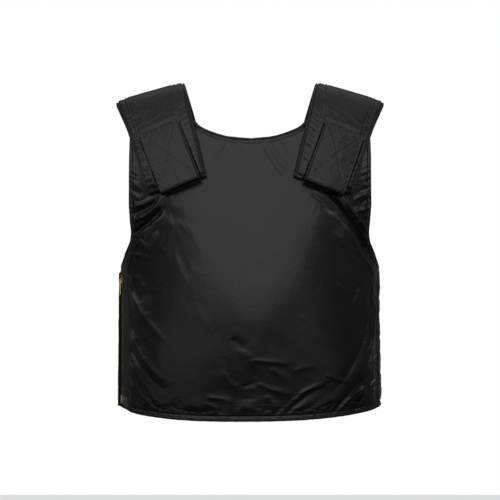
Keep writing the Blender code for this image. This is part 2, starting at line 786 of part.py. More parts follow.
def slider_level():
    """Height of the slider plates' outer faces over the middle of the chain."""
    return CHAIN_THICKNESS / 2 + PLATE_CLEARANCE + PLATE_THICKNESS


def zip_slider():
    """Two plates with lips, joined by a post, with the bail on the outer one."""
    low = -SLIDER_LENGTH / 2
    high = SLIDER_LENGTH / 2
    wide = SLIDER_TOP_WIDTH / 2
    slim = SLIDER_LOW_WIDTH / 2
    waist = low + 0.35 * SLIDER_LENGTH
    outline = [(-slim, low), (slim, low), (slim, waist), (wide, high - 0.0015)]
    outline += [(wide - 0.0015, high), (0.0015 - wide, high), (-wide, high - 0.0015), (-slim, waist)]
    inside = CHAIN_THICKNESS / 2 + PLATE_CLEARANCE
    solids = []
    for sign in (1, -1):
        faces = sorted((sign * inside, sign * slider_level()))
        solids.append(prism("plate", outline, *faces))
        reach = sorted((sign * TAPE_SLOT, sign * (inside + 0.0003)))
        for edge in (1, -1):
            lip = [(edge * slim, low), (edge * slim, waist), (edge * wide, high - 0.0015)]
            lip += [(edge * (x - LIP_WIDTH), y) for x, y in
                    ((wide, high - 0.0015), (slim, waist), (slim, low))]
            solids.append(prism("lip", lip, *reach))
    half = POST_WIDTH / 2
    post_top = high - 0.0012
    post = rectangle(-half, half, post_top - POST_LENGTH, post_top)
    solids.append(prism("post", post, -inside - 0.0003, inside + 0.0003))
    bail = bail_outline(slider_level())
    solids.append(prism("bail", bail, -BAIL_WIDTH / 2, BAIL_WIDTH / 2, axis=0))
    slider = combine("zip_slider", solids[0], solids[1:], "UNION")
    place_on_zip(slider, SLIDER_Z)
    return slider


def round_end(half, end, steps=8):
    """Points of a half circle that closes a strip at its lower end."""
    turns = [math.pi * (1 + k / steps) for k in range(steps + 1)]
    return [(half * math.cos(t), end + half + half * math.sin(t)) for t in turns]


def zip_pull():
    """The pull tab: its slot passes round the bail and its bar lies inside it."""
    half = PULL_WIDTH / 2
    top = PULL_BAR / 2
    outline = round_end(half, top - PULL_LENGTH) + [(half, top), (-half, top)]
    plate = prism("plate", outline, -PULL_THICKNESS / 2, PULL_THICKNESS / 2)
    slot_half = BAIL_WIDTH / 2 + 0.0004
    slot = rectangle(-slot_half, slot_half, -BAIL_RADIUS - 0.0010, -PULL_BAR / 2)
    turns = [math.tau * k / 12 for k in range(12)]
    hole_y = top - PULL_LENGTH + half
    hole = [(PULL_HOLE * math.cos(t), hole_y + PULL_HOLE * math.sin(t)) for t in turns]
    cutters = [prism("slot", slot, -0.01, 0.01), prism("hole", hole, -0.01, 0.01)]
    pull = combine("zip_pull", plate, cutters, "DIFFERENCE")
    place_on_zip(pull, SLIDER_Z + BAIL_SHIFT, slider_level() + PULL_BAR / 2 + GAP)
    return pull


def zip_box():
    """The retaining box: two plates round the tapes, joined by a core between them."""
    length = BOX_TOP_Z - BOX_BOTTOM_Z
    top = BOX_TOP_WIDTH / 2
    low = BOX_LOW_WIDTH / 2
    outline = [(-low, -length / 2), (low, -length / 2), (low, -length / 6)]
    outline += [(top, length / 2), (-top, length / 2), (-low, -length / 6)]
    inside = CHAIN_THICKNESS / 2
    solids = [
        prism("plate", outline, inside, inside + PLATE_THICKNESS),
        prism("plate", outline, -inside - PLATE_THICKNESS, -inside),
    ]
    core = rectangle(-CHAIN_WIDTH / 2, CHAIN_WIDTH / 2, -length / 2 + 0.0005, length / 2 - 0.0005)
    solids.append(prism("core", core, -inside - 0.0003, inside + 0.0003))
    box = combine("zip_box", solids[0], solids[1:], "UNION")
    place_on_zip(box, (BOX_TOP_Z + BOX_BOTTOM_Z) / 2)
    return box


def front_top(x):
    return top_height(x, front_neckline, FRONT_NECKLINE[-1][0])


def back_top(x):
    return top_height(x, back_neckline, BACK_NECKLINE[-1][0])


def build_vest():
    clear_scene()
    front = panel("front_panel", front_edges, front_top, (18, 21, 36), fold_relief)
    back = panel("back_panel", back_edges, back_top, (12, 11, 24))
    panel_bindings("front", *front)
    panel_bindings("back", *back)
    for tag, side in (("r", -1.0), ("l", 1.0)):
        shoulder_strap(tag, side)
        strap_tab(tag, side)
    side_seam()
    zip_tapes()
    zip_slider()
    zip_pull()
    zip_box()
    zip_chain(SLIDER_Z + 0.0010, BOX_TOP_Z + GAP)


build_vest()
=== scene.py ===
import json
import math

import bmesh
import bpy
import numpy as np
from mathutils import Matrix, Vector

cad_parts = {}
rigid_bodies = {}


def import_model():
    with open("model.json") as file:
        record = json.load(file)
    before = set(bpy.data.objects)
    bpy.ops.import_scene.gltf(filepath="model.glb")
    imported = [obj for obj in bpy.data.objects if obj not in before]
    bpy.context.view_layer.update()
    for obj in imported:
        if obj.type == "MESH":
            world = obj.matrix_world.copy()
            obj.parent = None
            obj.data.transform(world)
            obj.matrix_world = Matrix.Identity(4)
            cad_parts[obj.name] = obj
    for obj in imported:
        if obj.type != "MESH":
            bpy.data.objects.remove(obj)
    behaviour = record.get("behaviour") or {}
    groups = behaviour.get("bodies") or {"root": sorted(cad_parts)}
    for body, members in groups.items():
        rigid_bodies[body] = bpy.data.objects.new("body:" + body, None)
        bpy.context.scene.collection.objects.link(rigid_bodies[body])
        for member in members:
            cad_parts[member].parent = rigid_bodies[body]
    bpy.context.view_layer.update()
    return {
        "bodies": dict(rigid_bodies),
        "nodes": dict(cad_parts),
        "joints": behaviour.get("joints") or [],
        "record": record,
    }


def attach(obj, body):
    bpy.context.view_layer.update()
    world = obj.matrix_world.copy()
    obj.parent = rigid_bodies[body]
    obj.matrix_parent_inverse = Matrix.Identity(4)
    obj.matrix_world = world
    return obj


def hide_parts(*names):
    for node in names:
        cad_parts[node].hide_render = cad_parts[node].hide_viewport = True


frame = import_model()
scene = bpy.context.scene
print("frame loaded:", len(frame["nodes"]), "nodes")

# The body form that every soft piece lies on, in metres, the same as in the frame
form = {
    "power": 2.4,
    "frontDepth": 0.130,
    "frontHemDepth": 0.122,
    "frontArch": 0.33,
    "backDepth": 0.112,
    "backHemDepth": 0.106,
    "backArch": 0.17,
    "archToHem": 0.47,
    "shoulderAngle": math.radians(16.0),
    "crestX": 0.1439,
    "crestZ": -0.0008,
    "crestRound": 0.06,
    "halfWidth": [
        (-0.475, 0.1932), (-0.400, 0.1917), (-0.330, 0.1906), (-0.254, 0.1898), (-0.220, 0.1935),
        (-0.190, 0.2000), (-0.140, 0.2120), (-0.080, 0.2250), (0.040, 0.2350),
    ],
}

# Outlines of the two panels: height against distance from the middle, or against an angle
outline = {
    "hemSide": -0.4453,
    "hemFrontDrop": 0.0160,
    "hemBackDrop": 0.0080,
    "hemCurve": 1.6,
    "zipTop": -0.260,
    "underarm": -0.254,
    "shoulderDrop": 0.032,
    "frontNeck": [
        (0.000, -0.0646), (0.030, -0.0617), (0.055, -0.0545), (0.079, -0.0420), (0.088, -0.0300),
        (0.097, -0.0170),
    ],
    "backNeck": [
        (0.000, -0.0560), (0.030, -0.0535), (0.055, -0.0470), (0.078, -0.0355), (0.087, -0.0265),
        (0.096, -0.0160),
    ],
    "frontArmhole": [
        (-0.2540, 0.1876), (-0.2423, 0.1862), (-0.2307, 0.1832), (-0.2191, 0.1784), (-0.2077, 0.1738),
        (-0.1950, 0.1724), (-0.1800, 0.1735), (-0.1500, 0.1749), (-0.0900, 0.1749), (-0.0300, 0.1735),
    ],
    "backArmhole": [
        (-0.2460, 88.0), (-0.2370, 98.0), (-0.2250, 108.5), (-0.2100, 117.0), (-0.1850, 124.0),
        (-0.1500, 128.0), (-0.1000, 132.3), (-0.0300, 135.5),
    ],
    "seamLine": [(-0.475, 0.1850), (-0.310, 0.1846), (-0.275, 0.1858), (-0.254, 0.1876)],
    "seamWidth": 0.005,
    "seamGap": 0.0007,
    "gap": 0.0004,
}

panelValues = {
    "thickness": 0.009,
    "edgeThickness": 0.0036,
    "edgeInset": 0.0016,
    "edgeSlope": 0.022,
    "hemStitch": 0.0045,
    "crowding": 0.09,
    "frontCounts": (160, 4, 140, 280),
    "backCounts": (92, 4, 84, 172),
    "liningStep": 4,
    # the ripples of a sewn edge: their height and how far they reach into the panel
    "hemGathers": (0.00075, 0.013),
    "startGathers": (0.0007, 0.009),
    "endGathers": (0.0011, 0.012),
    "topGathers": (0.0005, 0.010),
    "gatherPitch": 0.0042,
    "widePitch": 0.0093,
    "grooveDepth": 0.0007,
    "grooveReach": 0.0014,
    "unevenHeight": 0.00025,
    "unevenPitch": 0.024,
    "fineHeight": 0.00005,
    "finePitch": 0.008,
}

zipValues = {
    "chainX": 0.1870,
    "panelEdgeX": 0.1780,
    "tapeReach": 0.0195,
    "inset": 0.0022,
    "tapeThickness": 0.0012,
    "tapeTop": -0.2550,
    "tapeBottom": -0.4480,
    "chainTop": -0.2625,
    "chainBottom": -0.4318,
    "teethShift": 0.0012,
    "toothPitch": 0.0030,
    "toothWidth": 0.0026,
    "toothHeight": 0.0015,
    "toothThickness": 0.0022,
    "toothStagger": 0.0006,
    "tapeLap": 0.0004,
    "tapeTuck": 0.0010,
    "tapeStep": 0.0003,
    "tapeBulge": 0.0042,
    "filmTop": -0.4345,
}


def smoothStep(value):
    t = np.clip(value, 0.0, 1.0)
    return t * t * (3.0 - 2.0 * t)


def curveThrough(rows):
    # a smooth function through two columns, without overshoot
    at = np.array([row[0] for row in rows])
    values = np.array([row[1] for row in rows])
    step = np.diff(at)
    slope = np.diff(values) / step
    tangent = np.concatenate([slope[:1], 0.0 * slope[1:], slope[-1:]])
    for k in range(1, len(rows) - 1):
        if slope[k - 1] * slope[k] > 0.0:
            tangent[k] = 2.0 * slope[k - 1] * slope[k] / (slope[k - 1] + slope[k])

    def curve(x):
        x = np.clip(x, at[0], at[-1])
        k = np.clip(np.searchsorted(at, x) - 1, 0, len(step) - 1)
        t = (x - at[k]) / step[k]
        keep = (1.0 + 2.0 * t) * (1.0 - t) ** 2 * values[k] + t * t * (3.0 - 2.0 * t) * values[k + 1]
        return keep + (t * (1.0 - t) ** 2 * tangent[k] - t * t * (1.0 - t) * tangent[k + 1]) * step[k]

    return curve


halfWidth = curveThrough(form["halfWidth"])
frontNeck = curveThrough(outline["frontNeck"])
backNeck = curveThrough(outline["backNeck"])
frontArmhole = curveThrough(outline["frontArmhole"])
backArmhole = curveThrough(outline["backArmhole"])
seamLine = curveThrough(outline["seamLine"])


def unit(vectors):
    return vectors / np.linalg.norm(vectors, axis=-1, keepdims=True)


def crestHeight(x):
    x = np.abs(x)
    bend = form["crestRound"]
    run = np.where(x < bend, bend / 2 + x * x / (2 * bend), x)
    return form["crestZ"] - math.tan(form["shoulderAngle"]) * (run - form["crestX"])


def archDepth(drop, back):
    depth = np.where(back, form["backDepth"], form["frontDepth"])
    hem = np.where(back, form["backHemDepth"], form["frontHemDepth"])
    arch = np.where(back, form["backArch"], form["frontArch"])
    rise = 1.0 - np.clip(drop / arch, 0.0, 1.0)
    ease = smoothStep((drop - arch) / (form["archToHem"] - arch))
    return depth * np.sqrt(1.0 - rise * rise) + (hem - depth) * ease


def formPoint(angle, z):
    sine = np.sin(angle)
    cosine = np.cos(angle)
    share = 2.0 / form["power"]
    x = halfWidth(z) * np.sign(sine) * np.abs(sine) ** share
    depth = archDepth(crestHeight(x) - z, cosine < 0.0)
    y = -np.sign(cosine) * depth * np.abs(cosine) ** share
    return np.stack([x, y, z + 0.0 * x], axis=-1)


def angleAtX(x, z):
    return np.arcsin(np.clip(x / halfWidth(z), 0.0, 1.0) ** (form["power"] / 2.0))


def angleAtY(y, z):
    depth = np.maximum(archDepth(crestHeight(halfWidth(z)) - z, y > 0.0), 0.02)
    cosine = np.clip(np.abs(y) / depth, 0.0, 1.0) ** (form["power"] / 2.0)
    return np.where(y > 0.0, np.pi - np.arccos(cosine), np.arccos(cosine))


def beside(angle, z, distance):
    return angleAtY(formPoint(angle, z)[..., 1] + distance, z)


def formFrame(angle, z):
    # a point of the form and the direction outwards there
    small = 1e-4
    sideways = unit(formPoint(angle + small, z) - formPoint(angle - small, z))
    upward = formPoint(angle, z + small) - formPoint(angle, z - small)
    return formPoint(angle, z), unit(np.cross(sideways, upward))


def hemHeight(angle):
    cosine = np.cos(angle)
    drop = np.where(cosine > 0.0, outline["hemFrontDrop"], outline["hemBackDrop"])
    return outline["hemSide"] - drop * np.abs(cosine) ** outline["hemCurve"]


def chainAngle(z):
    return angleAtX(zipValues["chainX"], z)


def seamAngle(z):
    return angleAtX(seamLine(z), z)


def seamFar(z):
    return beside(seamAngle(z), z, outline["seamWidth"] + 2 * outline["seamGap"])


def topLine(neckline, reach):
    def top(x):
        neck = np.where(np.abs(x) < reach, neckline(np.abs(x)), 1.0)
        return np.minimum(neck, crestHeight(x) - outline["shoulderDrop"])
    return top


def frontLow(z):
    return -angleAtX(zipValues["panelEdgeX"], z), seamAngle(z)


def frontHigh(z):
    corner = np.isclose(z, outline["underarm"], atol=1e-5)
    armhole = angleAtX(frontArmhole(z), z)
    return -np.where(corner, beside(chainAngle(z), z, -outline["gap"]), armhole), armhole


def backLow(z):
    return seamFar(z), 2 * np.pi - beside(chainAngle(z), z, zipValues["tapeReach"])


def backHigh(z):
    corner = np.isclose(z, outline["underarm"], atol=1e-5)
    armhole = np.radians(backArmhole(z))
    left = np.where(corner, seamFar(z), armhole)
    return left, 2 * np.pi - np.where(corner, beside(chainAngle(z), z, outline["gap"]), armhole)


def crowded(count, amount, start=True, end=True):
    # shares from 0 to 1 that lie closer together at one end or at both
    t = np.linspace(0.0, 1.0, count + 1)
    if start and end:
        return t - amount * np.sin(2 * np.pi * t)
    bend = 2.0 * amount * np.sin(np.pi * t)
    return t - bend if start else t + bend


def frontSoft(z):
    return -chainAngle(z), seamAngle(z)


def backSoft(z):
    return seamFar(z), 2 * np.pi - beside(chainAngle(z), z, outline["gap"])


def rowAngles(z, across, edges, soft):
    # a row of angles that leaves its soft ends only near the edges
    first, last = edges(z)
    softFirst, softLast = soft(z)
    near = np.clip(1.0 - across / 0.14, 0.0, 1.0) ** 2
    far = np.clip(1.0 - (1.0 - across) / 0.14, 0.0, 1.0) ** 2
    middle = softFirst + across * (softLast - softFirst)
    return middle + near * (first - softFirst) + far * (last - softLast)


def panelGrid(low, high, soft, top, counts):
    below, between, above, columns = counts
    across = crowded(columns, panelValues["crowding"])
    first, last = low(np.array([outline["hemSide"]]))
    hem = hemHeight(first + across * (last - first))
    summit = np.full_like(across, -0.05)
    for _ in range(12):
        first, last = high(summit)
        summit = top(formPoint(first + across * (last - first), summit)[:, 0])
    angles, heights = [], []
    for share in crowded(below, panelValues["crowding"], end=False):
        z = hem + share * (outline["zipTop"] - hem)
        angles.append(rowAngles(z, across, low, soft))
        heights.append(z)
    corner = np.full_like(across, outline["underarm"])
    first, last = high(corner)
    cornerAngle = first + across * (last - first)
    lowAngle = angles[-1]
    for share in np.linspace(0.0, 1.0, between + 1)[1:-1]:
        angles.append(lowAngle + share * (cornerAngle - lowAngle))
        rise = share * (outline["underarm"] - outline["zipTop"])
        heights.append(0.0 * across + outline["zipTop"] + rise)
    for share in crowded(above, panelValues["crowding"], start=False):
        z = outline["underarm"] + share * (summit - outline["underarm"])
        first, last = high(z)
        angles.append(first + across * (last - first))
        heights.append(z)
    return np.array(angles), np.array(heights)


def gridLengths(points):
    rows = np.linalg.norm(np.diff(points, axis=0), axis=-1)
    columns = np.linalg.norm(np.diff(points, axis=1), axis=-1)
    up = np.vstack([np.zeros(points.shape[1]), np.cumsum(rows, axis=0)])
    along = np.hstack([np.zeros((points.shape[0], 1)), np.cumsum(columns, axis=1)])
    return up, along


def wobble(values, pitch, seed):
    # smooth noise along a line, from -1 to 1
    knots = np.random.default_rng(seed).uniform(-1.0, 1.0, 4096)
    place = values / pitch + 2048.0
    at = np.floor(place).astype(int) % 4095
    share = smoothStep(place - np.floor(place))
    return knots[at] * (1.0 - share) + knots[at + 1] * share


# Folds of the front cover, in millimetres: both ends, sideways bow, half width, height, and
# how sharp the crest is. A negative height is a valley.
frontFolds = [
    (-173, -161, -133, -145, -3, 3.4, 3.0, 1.2),
    (-172, -171, -130, -149, -3, 5, -3.6, 1.5),
    (-172, -183, -126, -150, -4.5, 3.6, 3.8, 1.2),
    (-127, -150, -110, -144, 1, 3.4, 1.6, 1.1),
    (-168, -199, -121, -157, -2, 6, -5.4, 1.6),
    (-153, -206, -118, -172, 4, 7, 0.9, 1.3),
    (-171, -211, -164, -217, 0, 2.6, 1.6, 1.1),
    (-164, -217, -157, -208, 0, 2.6, 1.8, 1.1),
    (-157, -208, -150, -221, 0, 2.8, 1.8, 1.1),
    (-150, -221, -130, -195, -1, 3.2, 1.4, 1.1),
    (-172, -229, -143, -233, 1, 2.8, 2.0, 1.1),
    (-171, -230, -177, -256, 0, 2.8, 1.8, 1.1),
    (-104, -180, -84, -206, 2, 6, 0.4, 1.3),
    (-92, -182, -66, -228, 2, 7, 0.5, 1.4),
    (-108, -222, -84, -274, -3, 6, 0.5, 1.3),
    (-130, -214, -108, -242, 0, 5, 0.6, 1.2),
    (-174, -120, -158, -134, 0, 4, 1.0, 1.2),
    (-174, -134, -156, -143, 0, 4, -1.0, 1.2),
    (131, -143, 171, -198, -1.5, 3.0, 4.6, 1.1),
    (150, -167, 172, -199, -1, 2.0, 1.8, 1.1),
    (121, -149, 181, -246, 4.3, 6.5, -8.5, 1.7),
    (86, -142, 122, -168, 2, 5, -1.8, 1.3),
    (113, -150, 148, -200, 3, 4.6, 1.2, 1.2),
    (116, -162, 138, -196, 0, 7, -0.8, 1.4),
    (120, -172, 168, -250, 5, 4.4, 1.8, 1.1),
    (163, -232, 180, -262, 2, 3.6, 2.2, 1.1),
    (118, -196, 138, -220, 0, 8, 0.6, 1.5),
    (104, -160, 126, -172, 0, 7, -1.0, 1.4),
    (150, -150, 166, -140, 0, 4, 1.6, 1.2),
    (148, -168, 172, -162, 0, 4.5, 1.8, 1.2),
    (152, -178, 172, -178, 0, 4, -1.4, 1.2),
    (-28, -66, -56, -98, 3, 5, 1.8, 1.2),
    (-25, -66, -22, -74, 0, 3.5, 1.2, 1.2),
    (-17, -66, -1, -100, -4, 5, -1.8, 1.2),
    (-10, -66, 6, -96, -3, 5, 1.2, 1.2),
    (17, -66, 64, -130, -4, 5.5, -2.4, 1.2),
    (24, -64, 68, -122, -3, 5, 1.8, 1.2),
    (39, -62, 54, -92, 0, 4.5, 1.4, 1.2),
    (-177, -266, -112, -356, -7, 10, 3.2, 1.5),
    (-177, -290, -134, -376, -6, 7, -1.6, 1.4),
    (-177, -321, -118, -410, -8, 7, 2.6, 1.2),
    (-177, -344, -116, -424, -9, 7, -2.0, 1.4),
    (-177, -352, -136, -430, -6, 6, 1.6, 1.3),
    (-177, -386, -136, -446, -6, 7, 2.4, 1.2),
    (-176, -408, -152, -450, -3, 6, -1.4, 1.3),
    (48, -456, 122, -406, 5, 8, -1.5, 1.4),
    (58, -438, 120, -402, 4, 6, 1.2, 1.3),
    (107, -398, 138, -411, 0, 4.5, 1.8, 1.1),
    (116, -458, 170, -400, 4, 8, -1.7, 1.6),
    (151, -452, 184, -408, 3, 6, -1.5, 1.4),
    (128, -448, 176, -410, 3, 5, 1.3, 1.2),
    (174, -278, 114, -426, 16, 7, -3.0, 1.5),
    (183, -290, 158, -400, 5, 6, 2.4, 1.2),
    (168, -300, 146, -376, 4, 7, 1.2, 1.4),
    (6, -376, 62, -381, -1, 7, 1.0, 1.4),
    (2, -372, 9, -412, 0, 4.5, -1.4, 1.2),
    (8, -408, 60, -424, -3, 6, 0.9, 1.4),
    (-14, -362, 6, -392, 3, 8, 1.1, 1.5),
    (-6, -414, 12, -406, 0, 5, -1.0, 1.3),
    (22, -428, 40, -446, 0, 8, 1.1, 1.5),
    (30, -388, 56, -408, 0, 9, 0.9, 1.6),
    (-24, -346, -8, -362, 0, 9, -1.0, 1.8),
    (62, -392, 96, -384, 2, 8, 0.8, 1.6),
    (-60, -430, -20, -438, 2, 9, 0.8, 1.6),
    (70, -312, 132, -352, -4, 9, 0.7, 1.4),
    (84, -338, 138, -372, -4, 9, 0.6, 1.4),
    (121, -262, 137, -277, 0, 4.5, -0.5, 1.4),
    (147, -294, 159, -268, 2, 5, -1.3, 1.4),
    (70, -424, 118, -414, 4, 7, 1.2, 1.4),
    (146, -438, 168, -422, 2, 6, 1.3, 1.3),
    (-74, -300, -52, -338, -3, 9, 0.3, 1.6),
    (-40, -392, -12, -420, -3, 9, 0.7, 1.5),
]

# Folds of the back cover: the same columns, seen from the front, so -x is the wearer's right
backFolds = [
    (-166, -170, -112, -128, 5, 9, 3.0, 1.3),
    (-168, -204, -104, -176, 6, 9, -2.6, 1.5),
    (-182, -238, -128, -222, 4, 8, 2.6, 1.3),
    (166, -172, 108, -132, -5, 9, 3.0, 1.3),
    (168, -206, 110, -172, -6, 9, -2.8, 1.5),
    (182, -236, 124, -226, -4, 8, 2.4, 1.3),
    (-186, -268, -136, -300, 6, 10, 2.6, 1.4),
    (-186, -330, -118, -384, 8, 10, 3.0, 1.3),
    (-186, -396, -134, -440, 6, 9, 3.0, 1.3),
    (186, -276, 128, -330, -8, 10, 2.8, 1.4),
    (186, -350, 110, -420, -9, 10, -3.0, 1.5),
    (184, -402, 138, -446, -5, 9, 3.0, 1.3),
    (-30, -56, -48, -88, 2, 7, 1.8, 1.3),
    (26, -56, 46, -92, -2, 7, -1.8, 1.3),
    (-60, -372, 40, -386, 6, 12, 2.0, 1.6),
    (-30, -416, 50, -432, -5, 10, 2.0, 1.5),
    (-90, -300, -20, -322, 4, 14, 1.4, 1.8),
]


# The pad under the front cover is fullest inside a wedge that narrows downwards: height of a
# point against the half width of the wedge there, to the wearer's right and left
padValues = {
    "right": [(-0.440, -0.060), (-0.354, -0.003), (-0.303, 0.030), (-0.259, 0.054), (-0.181, 0.084),
              (-0.156, 0.112), (-0.100, 0.160)],
    "left": [(-0.440, -0.060), (-0.347, 0.010), (-0.295, 0.054), (-0.207, 0.088), (-0.156, 0.106),
             (-0.100, 0.150)],
    "fall": 0.0036,
    "reach": 0.040,
    "soft": 0.008,
    "fade": (-0.30, -0.43),
    "belly": 0.0045,
    "bellyRise": (-0.16, -0.36),
    "bellyEnd": (-0.365, -0.460),
}
wedgeRight = curveThrough(padValues["right"])
wedgeLeft = curveThrough(padValues["left"])


def downwards(z, first, last):
    return smoothStep((first - z) / (first - last))


def padRelief(x, z):
    outside = np.abs(x) - np.where(x < 0.0, wedgeRight(z), wedgeLeft(z))
    soft = padValues["soft"]
    outside = soft * np.logaddexp(0.0, outside / soft)
    fall = padValues["fall"] * (1.0 - downwards(z, *padValues["fade"]))
    belly = downwards(z, *padValues["bellyRise"]) * (1.0 - downwards(z, *padValues["bellyEnd"]))
    return padValues["belly"] * belly - fall * (1.0 - np.exp(-outside / padValues["reach"]))


def foldRelief(x, z, folds):
    relief = np.zeros_like(x)
    for x0, z0, x1, z1, bow, reach, height, sharp in folds:
        start = np.array([x0, z0]) / 1000.0
        run = np.array([x1, z1]) / 1000.0 - start
        length = np.hypot(*run)
        ahead = run / length
        along = ((x - start[0]) * ahead[0] + (z - start[1]) * ahead[1]) / length
        aside = (z - start[1]) * ahead[0] - (x - start[0]) * ahead[1]
        aside = aside - 4.0 * bow / 1000.0 * along * (1.0 - along)
        width = reach / 1000.0 * (0.55 + 0.9 * np.clip(along, 0.0, 1.0))
        bump = np.exp(-(np.abs(aside / (0.6 * width)) ** 2 + 0.02) ** (sharp / 2))
        ends = smoothStep(along / 0.22 + 0.45) * smoothStep((1.0 - along) / 0.4 + 0.15)
        relief += height / 1000.0 * bump * ends
    return relief


# Shoulder straps: measured along the strap from its crest, and across it from its middle
strapValues = {
    "thickness": 0.009,
    "lift": 0.0007,
    "frontLength": 0.137,
    "backLength": 0.078,
    "endTaper": 0.010,
    "edges": [
        (-0.078, 0.0520, 0.0470), (-0.030, 0.0526, 0.0490), (0.000, 0.0526, 0.0525),
        (0.009, 0.0524, 0.0490), (0.043, 0.0510, 0.0438), (0.137, 0.0472, 0.0398),
    ],
    "section": [
        (0.00, 1.00), (0.60, 0.995), (0.64, 0.95), (0.662, 0.88), (0.698, 1.00), (0.735, 0.85),
        (0.86, 0.86), (0.905, 0.78), (0.930, 0.56), (0.958, 0.70), (0.985, 0.55), (1.00, 0.35),
    ],
    "stitchPlaces": (0.692, 0.905),
    "rows": 200,
    "columns": 132,
    "crestRise": 0.0028,
    "crestReach": 0.024,
    "bandRipple": 0.00095,
    "innerRipple": 0.0005,
    "ripplePitch": 0.0036,
    "widePitch": 0.0078,
    "unevenHeight": 0.00035,
    "unevenPitch": 0.020,
    "fineHeight": 0.00020,
    "finePitch": 0.0045,
    "tabPress": 0.0018,
    "tabRoll": 0.0010,
    "tabCrease": 0.0006,
    "rowDepth": 0.0003,
    "lowRow": 0.0045,
    "lowRowDepth": 0.0005,
    "leastHeight": 0.0012,
}
strapSection = curveThrough(strapValues["section"])
strapLowSection = curveThrough([(0.0, 1.0), (0.56, 1.0), (0.72, 0.90)] + strapValues["section"][6:])
strapNeckSide = curveThrough([row[:2] for row in strapValues["edges"]])
strapArmSide = curveThrough([row[::2] for row in strapValues["edges"]])


def strapHalf(along, place):
    return np.where(place < 0.0, strapNeckSide(along), strapArmSide(along))


def archAngle(along):
    drop = np.abs(along) / math.cos(form["shoulderAngle"])
    arch = np.where(along < 0.0, form["backArch"], form["frontArch"])
    return np.sign(along) * np.arccos(1.0 - np.clip(drop / arch, 0.0, 0.98))


def strapSeat(side, turn, across):
    back = turn < 0.0
    drop = np.where(back, form["backArch"], form["frontArch"]) * (1.0 - np.cos(turn))
    slant = form["shoulderAngle"]
    along = drop * math.cos(slant)
    x = form["crestX"] + across * math.cos(slant) - along * math.sin(slant)
    z = form["crestZ"] - across * math.sin(slant) - along * math.cos(slant)
    narrow = np.clip(1.0 - (x / halfWidth(z)) ** form["power"], 0.0, 1.0) ** (1.0 / form["power"])
    y = -np.where(back, form["backDepth"], form["frontDepth"]) * np.sin(turn) * narrow
    return np.stack([side * x, y, z], axis=-1)


def strapRaised(side, turn, across, lift):
    small = 1e-4
    down = strapSeat(side, turn + small, across) - strapSeat(side, turn - small, across)
    out = strapSeat(side, turn, across + small) - strapSeat(side, turn, across - small)
    return strapSeat(side, turn, across) + side * unit(np.cross(down, out)) * np.asarray(lift)[..., None]


def awayFromStraps(x, z, front=True):
    run = np.abs(x) - form["crestX"]
    fall = z - form["crestZ"]
    slant = form["shoulderAngle"]
    across = run * math.cos(slant) - fall * math.sin(slant)
    along = -run * math.sin(slant) - fall * math.cos(slant)
    length = strapValues["frontLength"] if front else strapValues["backLength"]
    signed = along if front else -along
    aside = np.abs(across) - strapHalf(signed, across)
    return np.maximum(along - length, aside)


# Meshes

def addObject(name, data):
    obj = bpy.data.objects.new(name, data)
    scene.collection.objects.link(obj)
    return obj


def lineLengths(points):
    return np.concatenate([[0.0], np.cumsum(np.linalg.norm(np.diff(points, axis=0), axis=-1))])


def gridFaces(rows, columns, first):
    at = first + np.arange(rows - 1)[:, None] * columns + np.arange(columns - 1)
    return np.stack([at, at + 1, at + columns + 1, at + columns], axis=-1).reshape(-1, 4).tolist()


def border(rows, columns, first):
    edge = [first + j for j in range(columns - 1)]
    edge += [first + i * columns + columns - 1 for i in range(rows - 1)]
    edge += [first + (rows - 1) * columns + j for j in range(columns - 1, 0, -1)]
    edge += [first + i * columns for i in range(rows - 1, 0, -1)]
    return edge


def addMesh(name, points, faces, uv=None):
    mesh = bpy.data.meshes.new(name)
    mesh.from_pydata(np.asarray(points).tolist(), [], faces)
    if uv is not None:
        layer = mesh.uv_layers.new(name="cloth")
        corner = np.empty(len(mesh.loops), np.int32)
        mesh.loops.foreach_get("vertex_index", corner)
        layer.data.foreach_set("uv", np.asarray(uv, np.float32)[corner].ravel())
    work = bmesh.new()
    work.from_mesh(mesh)
    bmesh.ops.recalc_face_normals(work, faces=work.faces)
    work.to_mesh(mesh)
    work.free()
    mesh.shade_smooth()
    return addObject(name, mesh)


def addShell(name, outer, inner):
    # a closed wall from an outer grid and an inner one with the same or fewer steps
    rows, columns = outer.shape[:2]
    lowRows, lowColumns = inner.shape[:2]
    count = rows * columns
    faces = gridFaces(rows, columns, 0)
    fine = border(rows, columns, 0)
    coarse = border(lowRows, lowColumns, count)
    ratio = len(fine) // len(coarse)
    for k, corner in enumerate(coarse):
        following = coarse[(k + 1) % len(coarse)]
        steps = [fine[(k * ratio + j) % len(fine)] for j in range(ratio + 1)]
        half = ratio // 2
        if ratio == 1:
            faces.append((steps[0], steps[1], following, corner))
            continue
        for j in range(ratio):
            faces.append((steps[j], steps[j + 1], corner if j < half else following))
        faces.append((steps[half], following, corner))
    lining = len(faces)
    faces += gridFaces(lowRows, lowColumns, count)
    uvs = []
    for grid in (outer, inner):
        up, along = gridLengths(grid)
        middle = along[:, -1:] / 2
        uvs.append(np.stack([along - middle, up], axis=-1).reshape(-1, 2))
    obj = addMesh(name, np.vstack([outer.reshape(-1, 3), inner.reshape(-1, 3)]), faces, np.vstack(uvs))
    return obj, lining


def paintLining(obj, lining, cover, inside):
    obj.data.materials.append(cover)
    obj.data.materials.append(inside)
    index = np.zeros(len(obj.data.polygons), np.int32)
    index[lining:] = 1
    obj.data.polygons.foreach_set("material_index", index)


